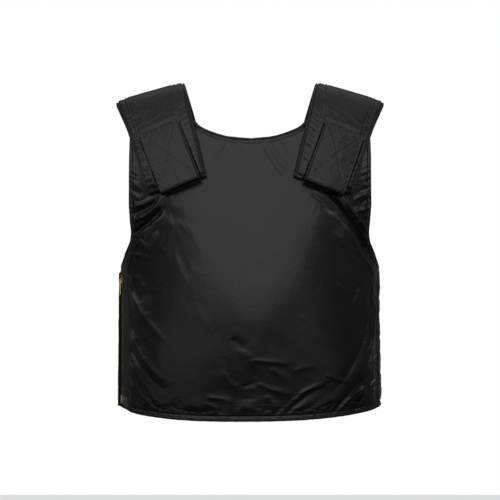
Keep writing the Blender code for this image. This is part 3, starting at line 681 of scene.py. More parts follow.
def scatter(u, v, pitch, seed):
    # smooth noise over a surface, from -1 to 1
    knots = np.random.default_rng(seed).uniform(-1.0, 1.0, (257, 257))
    across = u / pitch + 1024.0
    upward = v / pitch + 1024.0
    i = np.floor(across).astype(int)
    j = np.floor(upward).astype(int)
    s = smoothStep(across - i)
    t = smoothStep(upward - j)
    i, j = i % 256, j % 256
    low = knots[i, j] * (1.0 - s) + knots[i + 1, j] * s
    high = knots[i, j + 1] * (1.0 - s) + knots[i + 1, j + 1] * s
    return low * (1.0 - t) + high * t


def valley(distance, reach):
    return np.exp(-(distance / reach) ** 2)


# Cloth simulation of a cover: the cloth is a little too large for the pad that it wraps
coverCloth = {
    "every": 2,
    "frames": 20,
    "cap": 0.0060,
    "loose": 0.42,
    "calm": 0.05,
    "settings": {
        "quality": 7,
        "mass": 0.22,
        "tension_stiffness": 18.0,
        "compression_stiffness": 18.0,
        "shear_stiffness": 7.2,
        "bending_stiffness": 0.35,
        "tension_damping": 8.0,
        "compression_damping": 8.0,
        "bending_damping": 0.8,
        "air_damping": 2.0,
        "vertex_group_mass": "held",
        "pin_stiffness": 0.6,
        "shrink_min": -0.055,
        "use_pressure": True,
        "uniform_pressure_force": 0.3,
    },
}


def clothOffset(name, base, normal, hold, join, values):
    # how far the cloth moves from each point of a grid once it has found its rest
    every = values["every"]
    start = base[::every, ::every]
    rows, columns = start.shape[:2]
    mesh = bpy.data.meshes.new(name)
    mesh.from_pydata(start.reshape(-1, 3).tolist(), [], gridFaces(rows, columns, 0))
    sheet = addObject(name, mesh)
    group = sheet.vertex_groups.new(name="held")
    for index, weight in enumerate(hold[::every, ::every].ravel()):
        if weight > 0.01:
            group.add([index], float(weight), "REPLACE")
    cloth = sheet.modifiers.new("cloth", "CLOTH")
    for key, value in values["settings"].items():
        setattr(cloth.settings, key, value)
    cloth.settings.effector_weights.gravity = 0.0
    cloth.collision_settings.use_collision = False
    cloth.collision_settings.use_self_collision = False
    cloth.point_cache.frame_start = 1
    cloth.point_cache.frame_end = values["frames"]
    for frame in range(1, values["frames"] + 1):
        scene.frame_set(frame)
    graph = bpy.context.evaluated_depsgraph_get()
    settled = sheet.evaluated_get(graph)
    moved = np.empty(rows * columns * 3)
    settled.data.vertices.foreach_get("co", moved)
    scene.frame_set(1)
    bpy.data.objects.remove(sheet, do_unlink=True)
    bpy.data.meshes.remove(mesh)
    shift = moved.reshape(rows, columns, 3) - start
    out = np.einsum("ijk,ijk->ij", shift, normal[::every, ::every])
    out = out - soften(out, 14)
    out = out - np.median(out, axis=1, keepdims=True)
    row = every * np.arange(rows)[:, None] - join
    near = np.exp(-(row / 7.0) ** 2)
    out = out * (1.0 - near) + soften(out, 3) * near
    cap = values["cap"]
    out = cap * np.tanh(out / cap)
    print(name, "cloth moved by", np.round(np.percentile(out, [2, 50, 98]) * 1000, 2), "mm")
    return spread(out, base.shape[0], base.shape[1])


def soften(values, rounds):
    # the slow part of a grid of values
    for _ in range(rounds):
        wide = np.pad(values, 2, mode="edge")
        values = sum(wide[i:i + values.shape[0], 2:-2] for i in range(5)) / 5.0
        wide = np.pad(values, 2, mode="edge")
        values = sum(wide[2:-2, j:j + values.shape[1]] for j in range(5)) / 5.0
    return values


def spread(values, rows, columns):
    # a coarse grid of values, smoothly read at a finer one
    for axis, count in ((0, rows), (1, columns)):
        values = np.moveaxis(values, axis, 0)
        place = np.linspace(0.0, values.shape[0] - 1.0, count)
        at = np.clip(np.floor(place).astype(int), 0, values.shape[0] - 2)
        share = (place - at)[:, None]
        before = values[np.maximum(at - 1, 0)]
        after = values[np.minimum(at + 2, values.shape[0] - 1)]
        first, second = values[at], values[at + 1]
        curve = 2 * first + (second - before) * share
        curve += (2 * before - 5 * first + 4 * second - after) * share ** 2
        curve += (3 * first - before - 3 * second + after) * share ** 3
        values = np.moveaxis(curve / 2, 0, axis)
    return values


# Panels

def buildPanel(name, low, high, soft, top, counts, folds, front, seed):
    angles, heights = panelGrid(low, high, soft, top, counts)
    points, normal = formFrame(angles, heights)
    up, along = gridLengths(points)
    fromHem, fromTop = up, up[-1] - up
    fromStart, fromEnd = along, along[:, -1:] - along
    edge = np.minimum(np.minimum(fromHem, fromTop), np.minimum(fromStart, fromEnd))
    fullness = smoothStep(edge / panelValues["edgeSlope"])
    inset = panelValues["edgeInset"] * (1.0 - fullness)
    thickness = panelValues["edgeThickness"]
    thickness = thickness + (panelValues["thickness"] - thickness) * fullness
    x, z = points[..., 0], points[..., 2]
    folded = foldRelief(x, z, folds) * (0.35 + 0.65 * fullness)
    if front:
        sides = np.minimum(np.minimum(fromStart, fromEnd), fromTop)
        folded = folded + padRelief(x, z) * smoothStep(sides / 0.05) * smoothStep(fromHem / 0.012)
    clear = smoothStep((awayFromStraps(x, z, front) - 0.002) / 0.012)
    seam = 0.0 if front else math.pi
    middle = along - np.array([np.interp(seam, a, b) for a, b in zip(angles, along)])[:, None]
    column = int(np.argmin(np.abs(angles[0] - seam)))
    rise = np.interp(heights, heights[:, column], up[:, column])
    rise = rise + 1.4 * np.maximum(heights - heights[-1, column], 0.0)
    gathers = 0.0 * x
    for distance, run, place in (
        (fromHem, middle, "hem"), (fromStart, rise, "start"), (fromEnd, rise, "end"),
        (fromTop, middle, "top"),
    ):
        strength, reach = panelValues[place + "Gathers"]
        slant = run + 0.35 * distance
        ripple = wobble(slant, panelValues["gatherPitch"], seed + 1)
        ripple = ripple + 0.6 * wobble(slant, panelValues["widePitch"], seed + 2)
        ripple = ripple * (0.6 + 0.4 * wobble(run, 0.035, seed + 3))
        depth = np.clip(distance / panelValues["hemStitch"], 0.0, 1.0)
        gathers += strength * ripple * depth * np.exp(-np.maximum(distance - 0.004, 0.0) / reach)
    stitched = valley(edge - panelValues["hemStitch"], panelValues["grooveReach"])
    fine = panelValues["unevenHeight"] * scatter(
        middle + 0.4 * rise, rise, panelValues["unevenPitch"], seed + 5)
    fine += panelValues["fineHeight"] * scatter(
        middle - 0.5 * rise, rise + 0.3 * middle, panelValues["finePitch"], seed + 6)
    base = points - normal * inset[..., None]
    hold = 1.0 - smoothStep((edge - 0.003) / 0.012)
    hold = np.maximum(hold, 1.0 - clear)
    join = counts[0] + counts[1] // 2
    settled = clothOffset(name + "_cloth", base + normal * folded[..., None], normal, hold, join, coverCloth)
    inward = np.minimum(np.minimum(fromStart, fromEnd), 2.2 * fromHem)
    loose = np.exp(-(inward / 0.062) ** 2)
    settled = settled * (coverCloth["calm"] + (coverCloth["loose"] - coverCloth["calm"]) * loose)
    lift = folded + (gathers + fine) * (0.4 + 0.6 * clear) - panelValues["grooveDepth"] * stitched
    lift = lift + settled * clear
    lift = np.where(lift > 0.0, lift * clear, lift)
    outer = base + normal * lift[..., None]
    step = panelValues["liningStep"]
    deep = inset + thickness + np.maximum(-lift - 0.003, 0.0)
    inner = points - normal * deep[..., None]
    obj, lining = addShell(name, outer, inner[::step, ::step])
    print(name, "built:", len(obj.data.polygons), "faces")
    grid = {
        "angles": angles, "heights": heights, "points": points, "outer": outer, "up": up, "along": along,
    }
    return obj, lining, grid


frontTop = topLine(frontNeck, outline["frontNeck"][-1][0])
backTop = topLine(backNeck, outline["backNeck"][-1][0])
frontCover, frontLining, frontGrid = buildPanel(
    "front_cover", frontLow, frontHigh, frontSoft, frontTop, panelValues["frontCounts"], frontFolds, True, 11)
backCover, backLining, backGrid = buildPanel(
    "back_cover", backLow, backHigh, backSoft, backTop, panelValues["backCounts"], backFolds, False, 47)


# Bars with a rounded section along a line: the bindings

def addBar(name, centres, first, second, halfFirst, halfSecond, around=12):
    turns = np.linspace(0.0, 2.0 * math.pi, around, endpoint=False)
    a = np.cos(turns)[None, :, None] * np.asarray(halfFirst).reshape(-1, 1, 1)
    b = np.sin(turns)[None, :, None] * np.asarray(halfSecond).reshape(-1, 1, 1)
    rings = centres[:, None] + first[:, None] * a + second[:, None] * b
    count = len(centres)
    faces = []
    for i in range(count - 1):
        for j in range(around):
            k = (j + 1) % around
            at = i * around
            faces.append((at + j, at + k, at + around + k, at + around + j))
    faces.append(tuple(range(around)))
    faces.append(tuple((count - 1) * around + j for j in range(around)))
    girth = np.arange(around) / around * 0.012
    uv = np.stack(np.meshgrid(lineLengths(centres), girth, indexing="ij"), axis=-1).reshape(-1, 2)
    return addMesh(name, rings.reshape(-1, 3), faces, uv)


bindingValues = {
    "halfHeight": 0.0024,
    "halfDepth": 0.0029,
    "neckReach": 0.088,
    "over": 0.0007,
    "pucker": 0.07,
}


def buildBinding(name, angles, heights, direction, seed):
    points, normal = formFrame(angles, heights)
    points = points - normal * (panelValues["edgeInset"] + panelValues["edgeThickness"] / 2)
    run = unit(np.gradient(points, axis=0))
    up = np.cross(normal, run)
    centres = points + up * direction * bindingValues["over"]
    pucker = 1.0 + bindingValues["pucker"] * wobble(lineLengths(centres), 0.004, seed)
    halfDepth, halfHeight = bindingValues["halfDepth"], bindingValues["halfHeight"]
    return addBar(name, centres, normal, up, halfDepth * pucker, halfHeight * pucker)


# The hem's binding runs on from each panel to just short of the zip's teeth
underTeeth = chainAngle(np.array(outline["hemSide"]))
bindings = []
for tag, grid, seed in (("front", frontGrid, 5), ("back", backGrid, 6)):
    hemAngles, hemHeights = grid["angles"][0], grid["heights"][0]
    if tag == "front":
        end = -beside(underTeeth, outline["hemSide"], -outline["gap"])
        reach = np.linspace(end, hemAngles[0], 7)[:-1]
        hemAngles = np.concatenate([reach, hemAngles])
        hemHeights = np.concatenate([hemHeight(reach), hemHeights])
    else:
        end = beside(underTeeth, outline["hemSide"], outline["gap"])
        reach = (2 * np.pi - np.linspace(end, 2 * np.pi - hemAngles[-1], 7)[:-1])[::-1]
        hemAngles = np.concatenate([hemAngles, reach])
        hemHeights = np.concatenate([hemHeights, hemHeight(reach)])
    hem = buildBinding("hem_edge_" + tag, hemAngles, hemHeights, -1.0, seed)
    inside = np.abs(grid["points"][-1][:, 0]) <= bindingValues["neckReach"]
    neck = buildBinding(
        "neck_edge_" + tag, grid["angles"][-1][inside], grid["heights"][-1][inside], 1.0, seed + 20)
    bindings += [(hem, "hem_binding_" + tag), (neck, "neck_binding_" + tag)]
print("bindings built")


# Shoulder straps and their tabs

def buildStrap(tag, side):
    rows, columns = strapValues["rows"], strapValues["columns"]
    front = archAngle(np.array(strapValues["frontLength"]))
    back = archAngle(np.array(-strapValues["backLength"]))
    split = int(rows * 0.36 / 4) * 4
    turn = np.concatenate([
        np.linspace(back, 0.0, split + 1)[:-1], np.linspace(0.0, front, rows - split + 1)])
    edgeShare = crowded(columns, 0.06)
    turn, place = np.meshgrid(turn, 2.0 * edgeShare - 1.0, indexing="ij")
    arch = np.where(turn < 0.0, form["backArch"], form["frontArch"])
    along = np.sign(turn) * arch * (1.0 - np.cos(turn)) * math.cos(form["shoulderAngle"])
    across = place * strapHalf(along, place)
    toEnd = np.minimum(strapValues["frontLength"] - along, along + strapValues["backLength"])
    taper = 0.55 + 0.45 * smoothStep(toEnd / strapValues["endTaper"])
    tabLength, tabWidth = ontoTab(tag, along, across)
    besideTab = np.abs(tabWidth) - tabValues["width"] / 2
    aboveTab = -tabLength - tabValues["length"] / 2
    plain = smoothStep((aboveTab + 0.002) / 0.006)
    section = strapSection(np.abs(place)) * plain + strapLowSection(np.abs(place)) * (1.0 - plain)
    height = strapValues["thickness"] * section * taper
    height += strapValues["crestRise"] * valley(along, strapValues["crestReach"])
    seat = strapSeat(side, turn, across)
    length, width = gridLengths(seat)
    seed = 100 if side < 0.0 else 140
    fromMiddle = np.abs(place)
    inBand = smoothStep((fromMiddle - 0.66) / 0.06) * smoothStep((0.99 - fromMiddle) / 0.08)
    toCentre = np.exp(-np.maximum(0.68 - fromMiddle, 0.0) / 0.10)
    lower = 0.35 + 0.65 * smoothStep((along - 0.01) / 0.05) + 0.3 * smoothStep(-along / 0.04)
    slant = length + 0.30 * np.abs(across) + 0.004 * np.sign(place)
    bend = slant + 0.0016 * wobble(across, 0.004, seed + 6)
    ripple = 1.0 - 2.2 * np.abs(wobble(bend, strapValues["ripplePitch"], seed + 1))
    ripple = ripple + 0.7 * wobble(bend, strapValues["widePitch"], seed + 2)
    ripple = lower * ripple * (0.75 + 0.5 * wobble(length, 0.03, seed + 3))
    height += strapValues["bandRipple"] * ripple * inBand
    height += strapValues["innerRipple"] * ripple * toCentre * (1.0 - inBand)
    uneven = scatter(length, width, strapValues["unevenPitch"], seed + 4)
    height += strapValues["unevenHeight"] * uneven * (1.0 - inBand)
    fine = scatter(length, 0.25 * width, strapValues["finePitch"], seed + 5)
    height += strapValues["fineHeight"] * fine
    pressed = valley(besideTab - 0.0012, 0.0016) * smoothStep(-aboveTab / 0.004)
    height -= strapValues["tabPress"] * pressed
    inWidth = smoothStep((0.004 - besideTab) / 0.008)
    height += strapValues["tabRoll"] * valley(aboveTab - 0.0062, 0.0030) * inWidth
    height -= strapValues["tabCrease"] * valley(aboveTab - 0.0012, 0.0018) * inWidth
    for distance, share in zip(strapValues["stitchPlaces"], (plain, 1.0)):
        height -= share * strapValues["rowDepth"] * valley((fromMiddle - distance) * 0.05, 0.0008)
    lowRow = toEnd / math.cos(form["shoulderAngle"]) - strapValues["lowRow"]
    height -= strapValues["lowRowDepth"] * valley(lowRow, 0.0012)
    height = np.maximum(height, strapValues["leastHeight"])
    under = strapRaised(side, turn, across, strapValues["lift"] + 0.0 * turn)
    over = strapRaised(side, turn, across, strapValues["lift"] + height)
    step = panelValues["liningStep"]
    obj, lining = addShell("strap_cover_" + tag, over, under[::step, ::step])
    return obj, lining, {"over": over, "place": place, "along": along}


tabValues = {
    "length": 0.0875,
    "width": 0.056,
    "thickness": 0.0045,
    "endThickness": 0.0085,
    "places": {"r": (0.0960, -0.0050, 6.0), "l": (0.0965, 0.0010, 5.0)},
    "edgeInset": 0.0022,
    "crossInset": 0.0062,
    "crossLow": 0.0310,
    "rollLength": 0.0050,
    "endSink": 0.0065,
    "overhang": 0.004,
    "seamDepth": 0.00030,
    "seamReach": 0.0007,
    "seamRipple": 0.00016,
    "layers": (0.0016, 0.0034),
    "layerDepth": 0.0008,
    "creaseHeight": 0.00015,
    "creasePitch": 0.0055,
    "unevenHeight": 0.00040,
    "unevenPitch": 0.016,
    "rows": 140,
    "columns": 88,
}


def tabGrid(tag, length, width):
    middle, offset, turned = tabValues["places"][tag]
    angle = math.radians(turned)
    along = middle + length * math.cos(angle) + width * math.sin(angle)
    across = offset - length * math.sin(angle) + width * math.cos(angle)
    return archAngle(along), across


def ontoTab(tag, along, across):
    middle, offset, turned = tabValues["places"][tag]
    angle = math.radians(turned)
    length = (along - middle) * math.cos(angle) - (across - offset) * math.sin(angle)
    return length, (along - middle) * math.sin(angle) + (across - offset) * math.cos(angle)


def segmentDistance(u, v, start, end):
    run = np.array(end) - np.array(start)
    share = np.clip(((u - start[0]) * run[0] + (v - start[1]) * run[1]) / (run @ run), 0.0, 1.0)
    return np.hypot(u - start[0] - share * run[0], v - start[1] - share * run[1])


def tabSeams():
    # the topstitch round three sides, then the cross
    half = tabValues["width"] / 2 - tabValues["edgeInset"]
    top = -tabValues["length"] / 2 + tabValues["edgeInset"]
    low = tabValues["length"] / 2 - tabValues["overhang"]
    sides = [((low, -half), (top, -half)), ((top, -half), (top, half)), ((top, half), (low, half))]
    inner = tabValues["width"] / 2 - tabValues["crossInset"]
    first, last = -tabValues["length"] / 2 + tabValues["crossInset"], tabValues["crossLow"]
    return sides + [((first, -inner), (last, inner)), ((first, inner), (last, -inner))]


def tabThickness(side, length, width):
    whole = tabValues["length"] / 2 + tabValues["overhang"]
    fromEnd = whole - length
    fold = np.clip(1.0 - fromEnd / whole, 0.0, 1.0) ** 1.5
    drop = 1.0 - np.clip(fromEnd / tabValues["rollLength"], 0.0, 1.0)
    nose = 0.20 + 0.80 * np.sqrt(np.clip(1.0 - drop ** 2, 0.0, 1.0))
    thickness = tabValues["thickness"] + (tabValues["endThickness"] - tabValues["thickness"]) * fold
    thickness = thickness * nose
    toSide = np.minimum(tabValues["width"] / 2 - np.abs(width), length + tabValues["length"] / 2)
    rounded = np.sqrt(np.clip(1.0 - (1.0 - np.clip(toSide / 0.0016, 0.0, 1.0)) ** 2, 0.0, 1.0))
    thickness = thickness * (0.55 + 0.45 * rounded)
    seed = 300 if side < 0 else 340
    for start, end in tabSeams():
        distance = segmentDistance(length, width, start, end)
        ripple = wobble(length + 1.3 * width, 0.0035, seed) + 0.5 * wobble(length - width, 0.006, seed + 1)
        thickness = thickness - tabValues["seamDepth"] * valley(distance, tabValues["seamReach"])
        thickness = thickness + tabValues["seamRipple"] * ripple * valley(distance - 0.003, 0.004)
    for layer in tabValues["layers"]:
        line = fromEnd - layer - 0.0003 * wobble(width, 0.012, seed + 2)
        thickness = thickness - tabValues["layerDepth"] * valley(line, 0.0005) * smoothStep(toSide / 0.003)
    slanted = scatter(length + 0.25 * width, 0.35 * width, tabValues["creasePitch"], seed + 4)
    creased = 1.0 - 2.0 * np.abs(slanted)
    patchy = 0.5 + 0.5 * scatter(length, width, 0.020, seed + 5)
    thickness = thickness + tabValues["creaseHeight"] * creased * rounded * patchy
    uneven = scatter(length, width, tabValues["unevenPitch"], seed + 3)
    return thickness + tabValues["unevenHeight"] * uneven * rounded


def tabPoint(tag, side, length, width, lift):
    turn, across = tabGrid(tag, length, width)
    base = 2.0 * strapValues["lift"] + strapValues["thickness"]
    return strapRaised(side, turn, across, base + lift)


def buildTab(tag, side):
    rows, columns = tabValues["rows"], tabValues["columns"]
    whole = tabValues["length"] + tabValues["overhang"]
    length = -tabValues["length"] / 2 + crowded(rows, 0.05) * whole
    width = (crowded(columns, 0.06) - 0.5) * tabValues["width"]
    length, width = np.meshgrid(length, width, indexing="ij")
    sink = tabValues["endSink"] * smoothStep((length - 0.0418) / 0.0012)
    under = tabPoint(tag, side, length, width, -sink)
    over = tabPoint(tag, side, length, width, tabThickness(side, length, width))
    step = panelValues["liningStep"]
    return addShell("tab_cover_" + tag, over, under[::step, ::step])[0]


straps, tabs = {}, {}
for tag, side in (("r", -1.0), ("l", 1.0)):
    straps[tag] = buildStrap(tag, side)
    tabs[tag] = buildTab(tag, side)
print("straps and tabs built")


# Side seam and zip tapes

def buildStrip(name, first, last, heights, inset, thickness, columns, relief=None):
    share = np.linspace(0.0, 1.0, columns + 1)
    angle = first(heights)[:, None] + share * (last(heights) - first(heights))[:, None]
    z = heights[:, None] + 0.0 * angle
    points, normal = formFrame(angle, z)
    up, along = gridLengths(points)
    lift = 0.0 * z if relief is None else relief(up, along)
    outer = points - normal * (inset - lift)[..., None]
    inner = points - normal * (inset + thickness)
    return addShell(name, outer, inner)[0]


def seamRelief(up, along):
    middle = along - along[:, -1:] / 2
    ripple = wobble(up + 0.4 * middle, 0.0034, 61) + 0.6 * wobble(up, 0.0075, 62)
    return 0.0006 * ripple - 0.0012 * (middle / 0.0028) ** 2


seamInset = panelValues["edgeInset"] - 0.0003
seamWelt = buildStrip(
    "side_seam_welt",
    lambda z: beside(seamAngle(z), z, outline["seamGap"]),
    lambda z: beside(seamAngle(z), z, outline["seamWidth"] + outline["seamGap"]),
    np.linspace(outline["hemSide"] - 0.003, outline["underarm"], 139), seamInset, 0.0030, 8, seamRelief)

tapeHeights = np.linspace(zipValues["tapeBottom"], zipValues["tapeTop"], 151)
tapeLevel = zipValues["inset"] - zipValues["tapeThickness"] / 2
shift, lap, tuck = zipValues["teethShift"], zipValues["tapeLap"], zipValues["tapeTuck"]


def tapeRelief(up, along):
    return 0.00018 * wobble(up, 0.004, 71) + 0.0002 * wobble(up + along, 0.011, 72)


def backTapeRelief(up, along):
    return tapeRelief(up, along) + zipValues["tapeBulge"] * np.sin(math.pi * along / along[:, -1:])


tapeFront = buildStrip(
    "zip_tape_cover_front",
    lambda z: -beside(angleAtX(zipValues["panelEdgeX"], z), z, -tuck),
    lambda z: -beside(chainAngle(z), z, lap - shift),
    tapeHeights, tapeLevel, zipValues["tapeThickness"], 14, tapeRelief)
tapeBack = buildStrip(
    "zip_tape_cover_back",
    lambda z: -beside(chainAngle(z), z, -lap - shift),
    lambda z: -beside(chainAngle(z), z, zipValues["tapeReach"] + tuck),
    tapeHeights, tapeLevel + zipValues["tapeStep"], zipValues["tapeThickness"], 12, backTapeRelief)
print("seam and tapes built")


# Geometry Nodes: stitches along lines, and the zip's teeth

class NodeTree:
    def __init__(self, tree):
        self.tree = tree

    def node(self, kind, settings=None, inputs=None, output=0):
        made = self.tree.nodes.new(kind)
        for key, value in (settings or {}).items():
            setattr(made, key, value)
        for key, value in (inputs or {}).items():
            self.feed(made.inputs[key], value)
        return made.outputs[output]

    def feed(self, socket, value):
        if isinstance(value, Wire):
            value = value.socket
        if isinstance(value, bpy.types.NodeSocket):
            self.tree.links.new(value, socket)
        else:
            socket.default_value = value

    def parts(self, vector):
        made = self.tree.nodes.new("ShaderNodeSeparateXYZ")
        self.feed(made.inputs[0], vector)
        return [Wire(self, socket) for socket in made.outputs]


class Wire:
    # an output socket that takes part in sums
    def __init__(self, host, socket):
        self.host = host
        self.socket = socket

    def maths(self, operation, first, second=0.0):
        made = self.host.node("ShaderNodeMath", {"operation": operation}, {0: first, 1: second})
        return Wire(self.host, made)

    def __add__(self, other):
        return self.maths("ADD", self, other)

    def __radd__(self, other):
        return self.maths("ADD", other, self)

    def __sub__(self, other):
        return self.maths("SUBTRACT", self, other)

    def __rsub__(self, other):
        return self.maths("SUBTRACT", other, self)

    def __mul__(self, other):
        return self.maths("MULTIPLY", self, other)

    def __rmul__(self, other):
        return self.maths("MULTIPLY", other, self)

    def __truediv__(self, other):
        return self.maths("DIVIDE", self, other)

    def step(self, low, high):
        made = self.host.node("ShaderNodeMapRange", {"interpolation_type": "SMOOTHSTEP"}, {
            "Value": self, "From Min": low, "From Max": high, "To Min": 0.0, "To Max": 1.0})
        return Wire(self.host, made)


def newNodeGroup(name, inputs):
    tree = bpy.data.node_groups.new(name, "GeometryNodeTree")
    tree.interface.new_socket("Geometry", in_out="INPUT", socket_type="NodeSocketGeometry")
    tree.interface.new_socket("Geometry", in_out="OUTPUT", socket_type="NodeSocketGeometry")
    for label, kind, value in inputs:
        item = tree.interface.new_socket(label, in_out="INPUT", socket_type=kind)
        if value is not None:
            item.default_value = value
    host = NodeTree(tree)
    entry = tree.nodes.new("NodeGroupInput")
    leave = tree.nodes.new("NodeGroupOutput")
    return host, entry, leave


def runNodes(obj, host, values):
    modifier = obj.modifiers.new("nodes", "NODES")
    modifier.node_group = host.tree
    for item in host.tree.interface.items_tree:
        if item.in_out == "INPUT" and item.name in values:
            modifier[item.identifier] = values[item.name]
    graph = bpy.context.evaluated_depsgraph_get()
    mesh = bpy.data.meshes.new_from_object(obj.evaluated_get(graph))
    obj.modifiers.remove(modifier)
    old = obj.data
    obj.data = mesh
    mesh.name = obj.name
    bpy.data.meshes.remove(old)
    return obj


def rowNodes(name, inputs):
    # points along a line at one pitch, each with a turn that follows the line and faces outwards
    host, entry, leave = newNodeGroup(name, inputs + [("Material", "NodeSocketMaterial", None)])
    line = host.node("GeometryNodeMeshToCurve", {}, {"Mesh": entry.outputs["Geometry"]})
    line = host.node("GeometryNodeResampleCurve", {"mode": "LENGTH"}, {
        "Curve": line, "Length": entry.outputs["Pitch"]})
    outward = host.node("GeometryNodeInputNamedAttribute", {"data_type": "FLOAT_VECTOR"}, {
        "Name": "outward"})
    ahead = host.node("GeometryNodeInputTangent")
    turn = host.node("FunctionNodeAlignRotationToVector", {"axis": "X"}, {"Vector": ahead})
    turn = host.node("FunctionNodeAlignRotationToVector", {"axis": "Z", "pivot_axis": "X"}, {
        "Rotation": turn, "Vector": outward})

    def fill(line, instance, size=(1.0, 1.0, 1.0)):
        placed = host.node("GeometryNodeInstanceOnPoints", {}, {
            "Points": line, "Instance": instance, "Rotation": turn, "Scale": size})
        real = host.node("GeometryNodeRealizeInstances", {}, {"Geometry": placed})
        painted = host.node("GeometryNodeSetMaterial", {}, {
            "Geometry": real, "Material": entry.outputs["Material"]})
        host.feed(leave.inputs["Geometry"], painted)
        return host

    return host, entry, line, outward, ahead, fill


def stitchNodes():
    host, entry, line, _outward, _ahead, fill = rowNodes("stitchRow", [
        ("Pitch", "NodeSocketFloat", 0.0032),
        ("Stitch Length", "NodeSocketFloat", 0.0022),
        ("Stitch Width", "NodeSocketFloat", 0.00075),
        ("Unevenness", "NodeSocketFloat", 0.12),
        ("Seed", "NodeSocketInt", 3),
    ])
    ball = host.node("GeometryNodeMeshUVSphere", {}, {"Segments": 8, "Rings": 5, "Radius": 0.5})
    chance = host.node("FunctionNodeRandomValue", {"data_type": "FLOAT"}, {
        2: 0.0, 3: 1.0, "Seed": entry.outputs["Seed"]}, 1)
    uneven = Wire(host, entry.outputs["Unevenness"]) * (Wire(host, chance) - 0.5) + 1.0
    width = Wire(host, entry.outputs["Stitch Width"])
    size = host.node("ShaderNodeCombineXYZ", {}, {
        0: uneven * Wire(host, entry.outputs["Stitch Length"]), 1: uneven * width, 2: width * 0.8})
    return fill(line, ball, size)


def toothNodes():
    host, entry, line, outward, ahead, fill = rowNodes("zipTeeth", [
        ("Pitch", "NodeSocketFloat", 0.0030),
        ("Tooth Width", "NodeSocketFloat", 0.0040),
        ("Tooth Height", "NodeSocketFloat", 0.0014),
        ("Tooth Thickness", "NodeSocketFloat", 0.0030),
        ("Stagger", "NodeSocketFloat", 0.0009),
    ])
    index = Wire(host, host.node("GeometryNodeInputIndex"))
    side = index.maths("MODULO", index, 2.0) * 2.0 - 1.0
    crossed = host.node("ShaderNodeVectorMath", {"operation": "CROSS_PRODUCT"}, {0: outward, 1: ahead})
    moved = host.node("ShaderNodeVectorMath", {"operation": "SCALE"}, {
        0: crossed, "Scale": side * Wire(host, entry.outputs["Stagger"])})
    line = host.node("GeometryNodeSetPosition", {}, {"Geometry": line, "Offset": moved})
    size = host.node("ShaderNodeCombineXYZ", {}, {
        0: entry.outputs["Tooth Height"], 1: entry.outputs["Tooth Width"],
        2: entry.outputs["Tooth Thickness"]})
    block = host.node("GeometryNodeMeshCube", {}, {"Size": size})
    block = host.node("GeometryNodeSubdivisionSurface", {}, {"Mesh": block, "Level": 2, "Edge Crease": 0.72})
    return fill(line, block)


def addLines(name, lines):
    # open lines with an outward direction at each point, for Geometry Nodes
    points, normals, edges = [], [], []
    for centres, outward in lines:
        first = len(points)
        points += np.asarray(centres).tolist()
        normals += np.asarray(outward).tolist()
        edges += [(first + k, first + k + 1) for k in range(len(centres) - 1)]
    mesh = bpy.data.meshes.new(name)
    mesh.from_pydata(points, edges, [])
    layer = mesh.attributes.new("outward", "FLOAT_VECTOR", "POINT")
    layer.data.foreach_set("vector", np.asarray(normals, np.float32).ravel())
    return addObject(name, mesh)


# Lines of stitches

stitchValues = {
    "pitch": 0.0038,
    "length": 0.0025,
    "width": 0.00095,
    "unevenness": 0.16,
    "raise": 0.0003,
    "fromEdge": 0.0045,
}


def gridNormal(points):
    across = np.gradient(points, axis=1)
    upward = np.gradient(points, axis=0)
    return unit(np.cross(across, upward))


def lineOn(points, normals, field, level):
    # where a field over a grid first reaches a level, going up each column
    reached = np.argmax(field >= level, axis=0)
    reached = np.maximum(reached, 1)
    columns = np.arange(field.shape[1])
    before, after = field[reached - 1, columns], field[reached, columns]
    share = np.clip((level - before) / np.maximum(after - before, 1e-9), 0.0, 1.0)[:, None]
    place = points[reached - 1, columns] * (1.0 - share) + points[reached, columns] * share
    return place, normals[reached, columns]


def raised(line, select=slice(None)):
    place, outward = line
    return (place + outward * stitchValues["raise"])[select], outward[select]


def panelLines(grid):
    points, up, along = grid["outer"], grid["up"], grid["along"]
    normals = gridNormal(points)
    near = stitchValues["fromEdge"]
    turned = points.transpose(1, 0, 2), normals.transpose(1, 0, 2)
    hem = lineOn(points, normals, up, near)
    top = lineOn(points[::-1], normals[::-1], (up[-1] - up)[::-1], near)
    start = lineOn(*turned, along.T, near)
    end = lineOn(turned[0][::-1], turned[1][::-1], (along[:, -1:] - along).T[::-1], near)
    neck = np.abs(top[0][:, 0]) < bindingValues["neckReach"]
    inside = slice(4, -4)
    sides = slice(6, -8)
    return [raised(hem, inside), raised(top, neck), raised(start, sides), raised(end, sides)]


def strapLines(strap):
    over, along, place = strap["over"], strap["along"], strap["place"][0]
    normals = gridNormal(over)
    if (normals[..., 1][along > 0.05]).mean() > 0.0:
        normals = -normals
    lines = []
    for distance in strapValues["stitchPlaces"]:
        for side in (-1.0, 1.0):
            at = int(np.argmin(np.abs(place - side * distance)))
            shown = slice(3, -4)
            if distance < 0.8:
                shown = slice(3, int(np.sum(along[:, at] < 0.048)))
            lines.append(raised((over[:, at], normals[:, at]), shown))
    end = int(np.argmin(np.abs(along[:, 50] - (strapValues["frontLength"] - 0.0043))))
    lines.append(raised((over[end], normals[end]), slice(5, -5)))
    return lines


def tabLines(tag, side, seams):
    lines = []
    for start, end in seams:
        share = np.linspace(0.0, 1.0, 60)
        length = start[0] + share * (end[0] - start[0])
        width = start[1] + share * (end[1] - start[1])
        lift = tabThickness(side, length, width)
        place = tabPoint(tag, side, length, width, lift + stitchValues["raise"])
        low = tabPoint(tag, side, length, width, lift - 0.001)
        lines.append((place, unit(place - low)))
    return lines


# Materials

